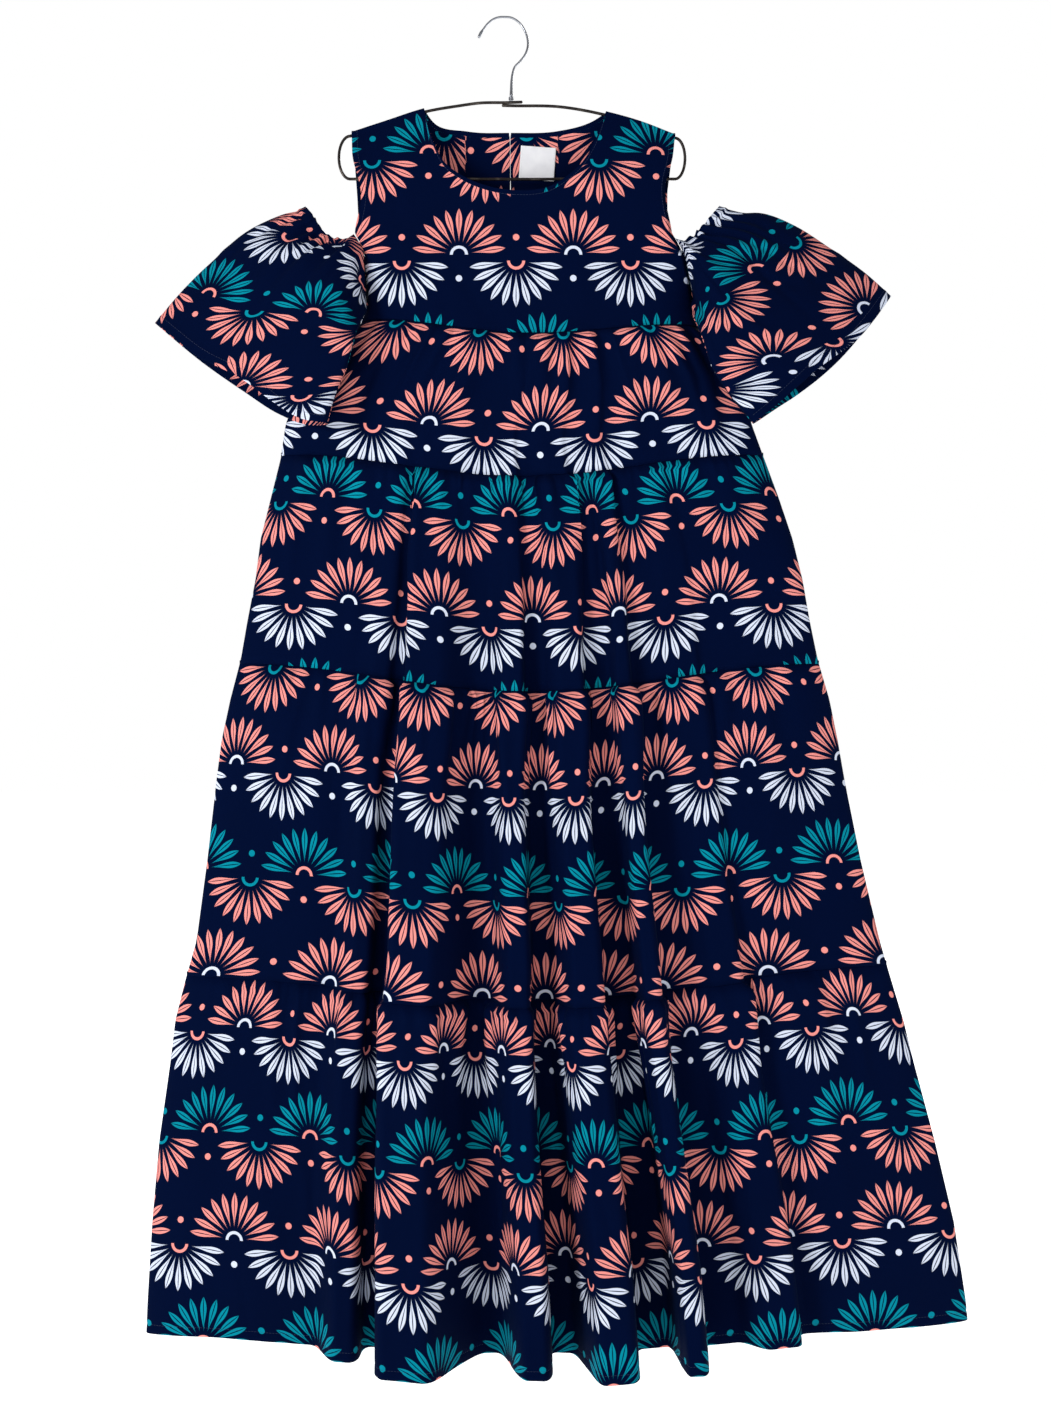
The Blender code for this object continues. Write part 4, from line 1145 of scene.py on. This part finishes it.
def wireMaterial(name):
    # Lacquered or plated wire: fine specks and rubbed patches from noise on the object's place.
    colour, worn, roughness, scratches = wires[name]
    material, make, shader = newMaterial(name, Metallic=1.0)
    place = make.put("ShaderNodeTexCoord", out=3)
    specks = make.noise(place, wireLook["specks"], 2.0, 0.6)
    rubbed = make.ramp(make.noise(place, wireLook["rubs"], 3.0, 0.6), *wireLook["rubEdge"])
    shade = make.blend(make.calc("MULTIPLY", rubbed, specks), colour, worn)
    rough = make.calc("ADD", roughness, make.calc("MULTIPLY", specks, scratches))
    addSurface(make, shader, shade, rough)
    addBump(make, shader, specks, wireLook["bump"], wireLook["bumpHeight"])
    return material


darkWire = wireMaterial("darkWire")
brightWire = wireMaterial("brightWire")


def hangerRoute():
    # From the right-hand end over the right shoulder, back along the bar, and over the left one.
    share = np.linspace(0, 1, hanger["bowPoints"])
    right = curveThrough(bows[1], share)
    left = curveThrough(bows[-1], share)
    loops = {}
    for side, shoulder in ((-1, left[0]), (1, right[-1])):
        turn = np.linspace(0, math.pi, hanger["loopPoints"] + 2)[1:]
        halfHeight = (shoulder[1] - hanger["barHeight"]) / 2
        x = shoulder[0] + side * hanger["reach"][side] * np.sin(turn)
        z = hanger["barHeight"] + halfHeight * (1 + np.cos(turn))
        loops[side] = np.stack([x, z], axis=1)
    start, end = loops[1][-1], loops[-1][-1]
    count = hanger["barPoints"]
    bar = start + np.linspace(0, 1, count + 2)[1:-1, None] * (end - start)
    bar[:, 1] += hanger["barWave"] * np.sin(np.linspace(0, 3 * math.pi, count))
    return np.vstack([right, loops[1], bar, loops[-1][::-1], left])


route = hangerRoute()
wireRadius = np.full(len(route), hanger["wireRadius"])
addPiece("hangerWire", tubeMesh("hangerWire", route, wireRadius, hanger["sides"]), darkWire,
         "hanger_wire", ["hanger_wire"])
hookKnots = hanger["hook"]
fineShare = np.linspace(0, 1, hanger["hookPoints"])
hookPath = curveThrough(hookKnots, fineShare)
along = lengthsAlong(np.stack([hookKnots["across"], hookKnots["height"]], axis=1))
swell = np.interp(fineShare, along / along[-1], hookKnots["swell"])
hookRadius = hanger["hookRadius"] * swell
addPiece("hangerHook", tubeMesh("hangerHook", hookPath, hookRadius, hanger["sides"]), brightWire,
         "hook_metal", ["hanger_hook"])
tall = hanger["collarTop"] - hanger["collarFoot"]
collar = np.stack([hanger["collarRadius"] * hanger["collar"]["radius"],
                   hanger["collarFoot"] + tall * hanger["collar"]["share"]], axis=1)
middle = hookKnots["across"][-1] * mm
addPiece("hangerCollar", turnedMesh("hangerCollar", middle, collar, hanger["collarSides"]),
         brightWire, "hook_metal", ["hanger_collar"])
print("hanger ready")


# Sewing thread.

thread = dict(
    stitch=2.7 * mm, gap=0.8 * mm, radius=0.2 * mm, proud=0.06 * mm, sides=6, twist=1400.0,
    form=table("place swell", (-0.98, 0.35), (-0.7, 1), (0.7, 1), (0.98, 0.35)),
)
threadShades = dict(
    navyThread=((0.002, 0.006, 0.03, 1), (0.01, 0.02, 0.07, 1)),
    whiteThread=((0.5, 0.5, 0.52, 1), (0.8, 0.8, 0.82, 1)),
)


def stitchMesh(name, lines):
    # Small ovals end to end along lines of points, each on the cloth's face: rings of points that
    # swell and shrink along the stitch.
    sides = thread["sides"]
    turn = np.linspace(0, 2 * math.pi, sides, endpoint=False)
    rings, swell = thread["form"]["place"], thread["form"]["swell"]
    vertices = []
    for line, outward in lines:
        along = lengthsAlong(line)
        step = thread["stitch"] + thread["gap"]
        middles = np.arange(step, along[-1] - step / 2, step)

        def between(places, values):
            return np.stack([np.interp(places, along, column) for column in values.T], axis=1)

        centre = between(middles, line)
        ahead = between(middles + step / 3, line)
        normal = between(middles, outward)
        normal /= np.linalg.norm(normal, axis=1)[:, None]
        forward = ahead - centre
        forward /= np.linalg.norm(forward, axis=1)[:, None]
        aside = np.cross(forward, normal)
        ring = (forward[:, None, None] * (rings * thread["stitch"] / 2)[None, :, None, None]
                + (normal[:, None, None] * np.cos(turn)[None, None, :, None]
                   + aside[:, None, None] * np.sin(turn)[None, None, :, None])
                * (swell * thread["radius"])[None, :, None, None])
        vertices.append((centre + normal * thread["proud"])[:, None, None] + ring)
    corners = len(rings) * sides
    vertices = np.concatenate(vertices).reshape(-1, corners, 3)
    first = np.arange(len(vertices))[:, None, None] * corners
    quads = (first + ringQuads(len(rings), sides)).reshape(-1, 4).tolist()
    j = np.arange(sides)
    caps = (first + np.array([j[::-1], corners - sides + j])).reshape(-1, sides).tolist()
    return facesMesh(name, vertices, quads + caps)


def threadMaterial(name):
    # Thread that varies finely between two shades.
    material, make, shader = newMaterial(name, Roughness=0.6)
    twist = make.noise(make.put("ShaderNodeTexCoord", out=3), thread["twist"], 1.0, 0.5)
    addSurface(make, shader, make.blend(twist, *threadShades[name]))
    return material


def lineOn(points, sense, rows, columns):
    # A row or a column of a surface, and its normals outwards.
    return points[rows, columns], sense * gridNormals(points)[rows, columns]


def lineDown(points, sense, column, foot):
    # A column's line from near its top down to a height.
    rows = np.flatnonzero(points[:, column, 2] > foot)
    return lineOn(points, sense, slice(3, rows[-1]), column)


navyThread = threadMaterial("navyThread")
whiteThread = threadMaterial("whiteThread")
inside = slice(2, -2)
hemRow = -5
hemLines = []
for half, sense in (("Front", 1), ("Back", -1)):
    hemLines.append(lineOn(tiers["tier4"]["edge" + half], sense, hemRow, inside))
for name in ("left", "right"):
    hemLines.append(lineOn(sleeves[name]["points"], sleeves[name]["side"], hemRow, inside))
neckRow = len(yoke["turn"]["drop"])
neckEnd = yoke["shoulderColumns"] + 4
armFoot = yoke["insetHeights"][1] + 6 * mm
slitFoot = yoke["slitFoot"] - 5 * mm
yokeLines = []
for points, sense, neckColumns, armColumns in ((front, 1, slice(neckEnd, -neckEnd), (3, -4)),
                                               (backs[-1], -1, slice(neckEnd, -3), (3,)),
                                               (backs[1], -1, slice(3, -neckEnd), (-4,))):
    yokeLines.append(lineOn(points, sense, neckRow, neckColumns))
    yokeLines += [lineDown(points, sense, column, armFoot) for column in armColumns]
yokeLines += [lineDown(backs[side], -1, column, slitFoot) for side, column in ((-1, -4), (1, 3))]
labelLines = [lineOn(labelPoints, 1, rows, columns) for rows, columns in (
    (2, inside), (-3, inside), (inside, 2), (inside, -3))]
for name, lines, material, slot in (("hemStitches", hemLines, navyThread, "cloth"),
                                    ("yokeStitches", yokeLines, navyThread, "cloth"),
                                    ("labelStitches", labelLines, whiteThread, "label")):
    addPiece(name, stitchMesh(name, lines), material, slot)
print("thread ready")


# Stage, light and camera. Each lamp has its place, its size and its power.

studio = dict(
    floorSize=12.0,
    floorHeight=-1.62,
    ambient=0.42,
    aim=(0.05, 0, -0.85),
    lamps=dict(key=((-2.7, -2.6, -0.2), 1.0, 84), fill=((2.6, -2.4, -0.6), 2.0, 14),
               back=((0.9, 2.8, 0.6), 1.8, 60)),
    cameraPlace=(23.7 * mm, -1750 * mm, -789.5 * mm),
    lens=38.87,
    sensor=36,
)


def addStage():
    # One large plain square under the hem.
    size, height = studio["floorSize"], studio["floorHeight"]
    corners = [(-size, -size, height), (size, -size, height), (size, size, height),
               (-size, size, height)]
    mesh = bpy.data.meshes.new("floor")
    mesh.from_pydata(corners, [], [(0, 1, 2, 3)])
    material = newMaterial("paleFloor", Base_Color=(0.85, 0.85, 0.85, 1), Roughness=0.9,
                           Emission_Color=(1, 1, 1, 1), Emission_Strength=0.8)[0]
    mesh.materials.append(material)
    addObject("floor", mesh)


def addLight(name, place, size, power, target):
    # A round lamp that faces a point.
    light = bpy.data.lights.new(name, "AREA")
    light.shape = "DISK"
    light.size = size
    light.energy = power
    lamp = addObject(name, light)
    lamp.location = place
    aim = mathutils.Vector(target) - mathutils.Vector(place)
    lamp.rotation_euler = aim.to_track_quat("-Z", "Y").to_euler()


addStage()
for name, (place, size, power) in studio["lamps"].items():
    addLight(name + "Light", place, size, power, studio["aim"])
world = bpy.data.worlds.new("studio")
world.use_nodes = True
sky = Maker(world.node_tree)
# The backdrop is white to the camera, and lights the dress more gently.
seen = sky.put("ShaderNodeLightPath")
strength = sky.calc("ADD", studio["ambient"], sky.calc("MULTIPLY", seen, 1 - studio["ambient"]))
background = world.node_tree.nodes["Background"]
background.inputs["Color"].default_value = (1, 1, 1, 1)
sky.link(strength, background, "Strength")
bpy.context.scene.world = world
bpy.context.scene.view_settings.view_transform = "Standard"

camera = addObject("camera", bpy.data.cameras.new("camera"))
camera.location = studio["cameraPlace"]
camera.rotation_euler = (math.pi / 2, 0, 0)
camera.data.lens = studio["lens"]
camera.data.sensor_width = studio["sensor"]
bpy.context.scene.camera = camera
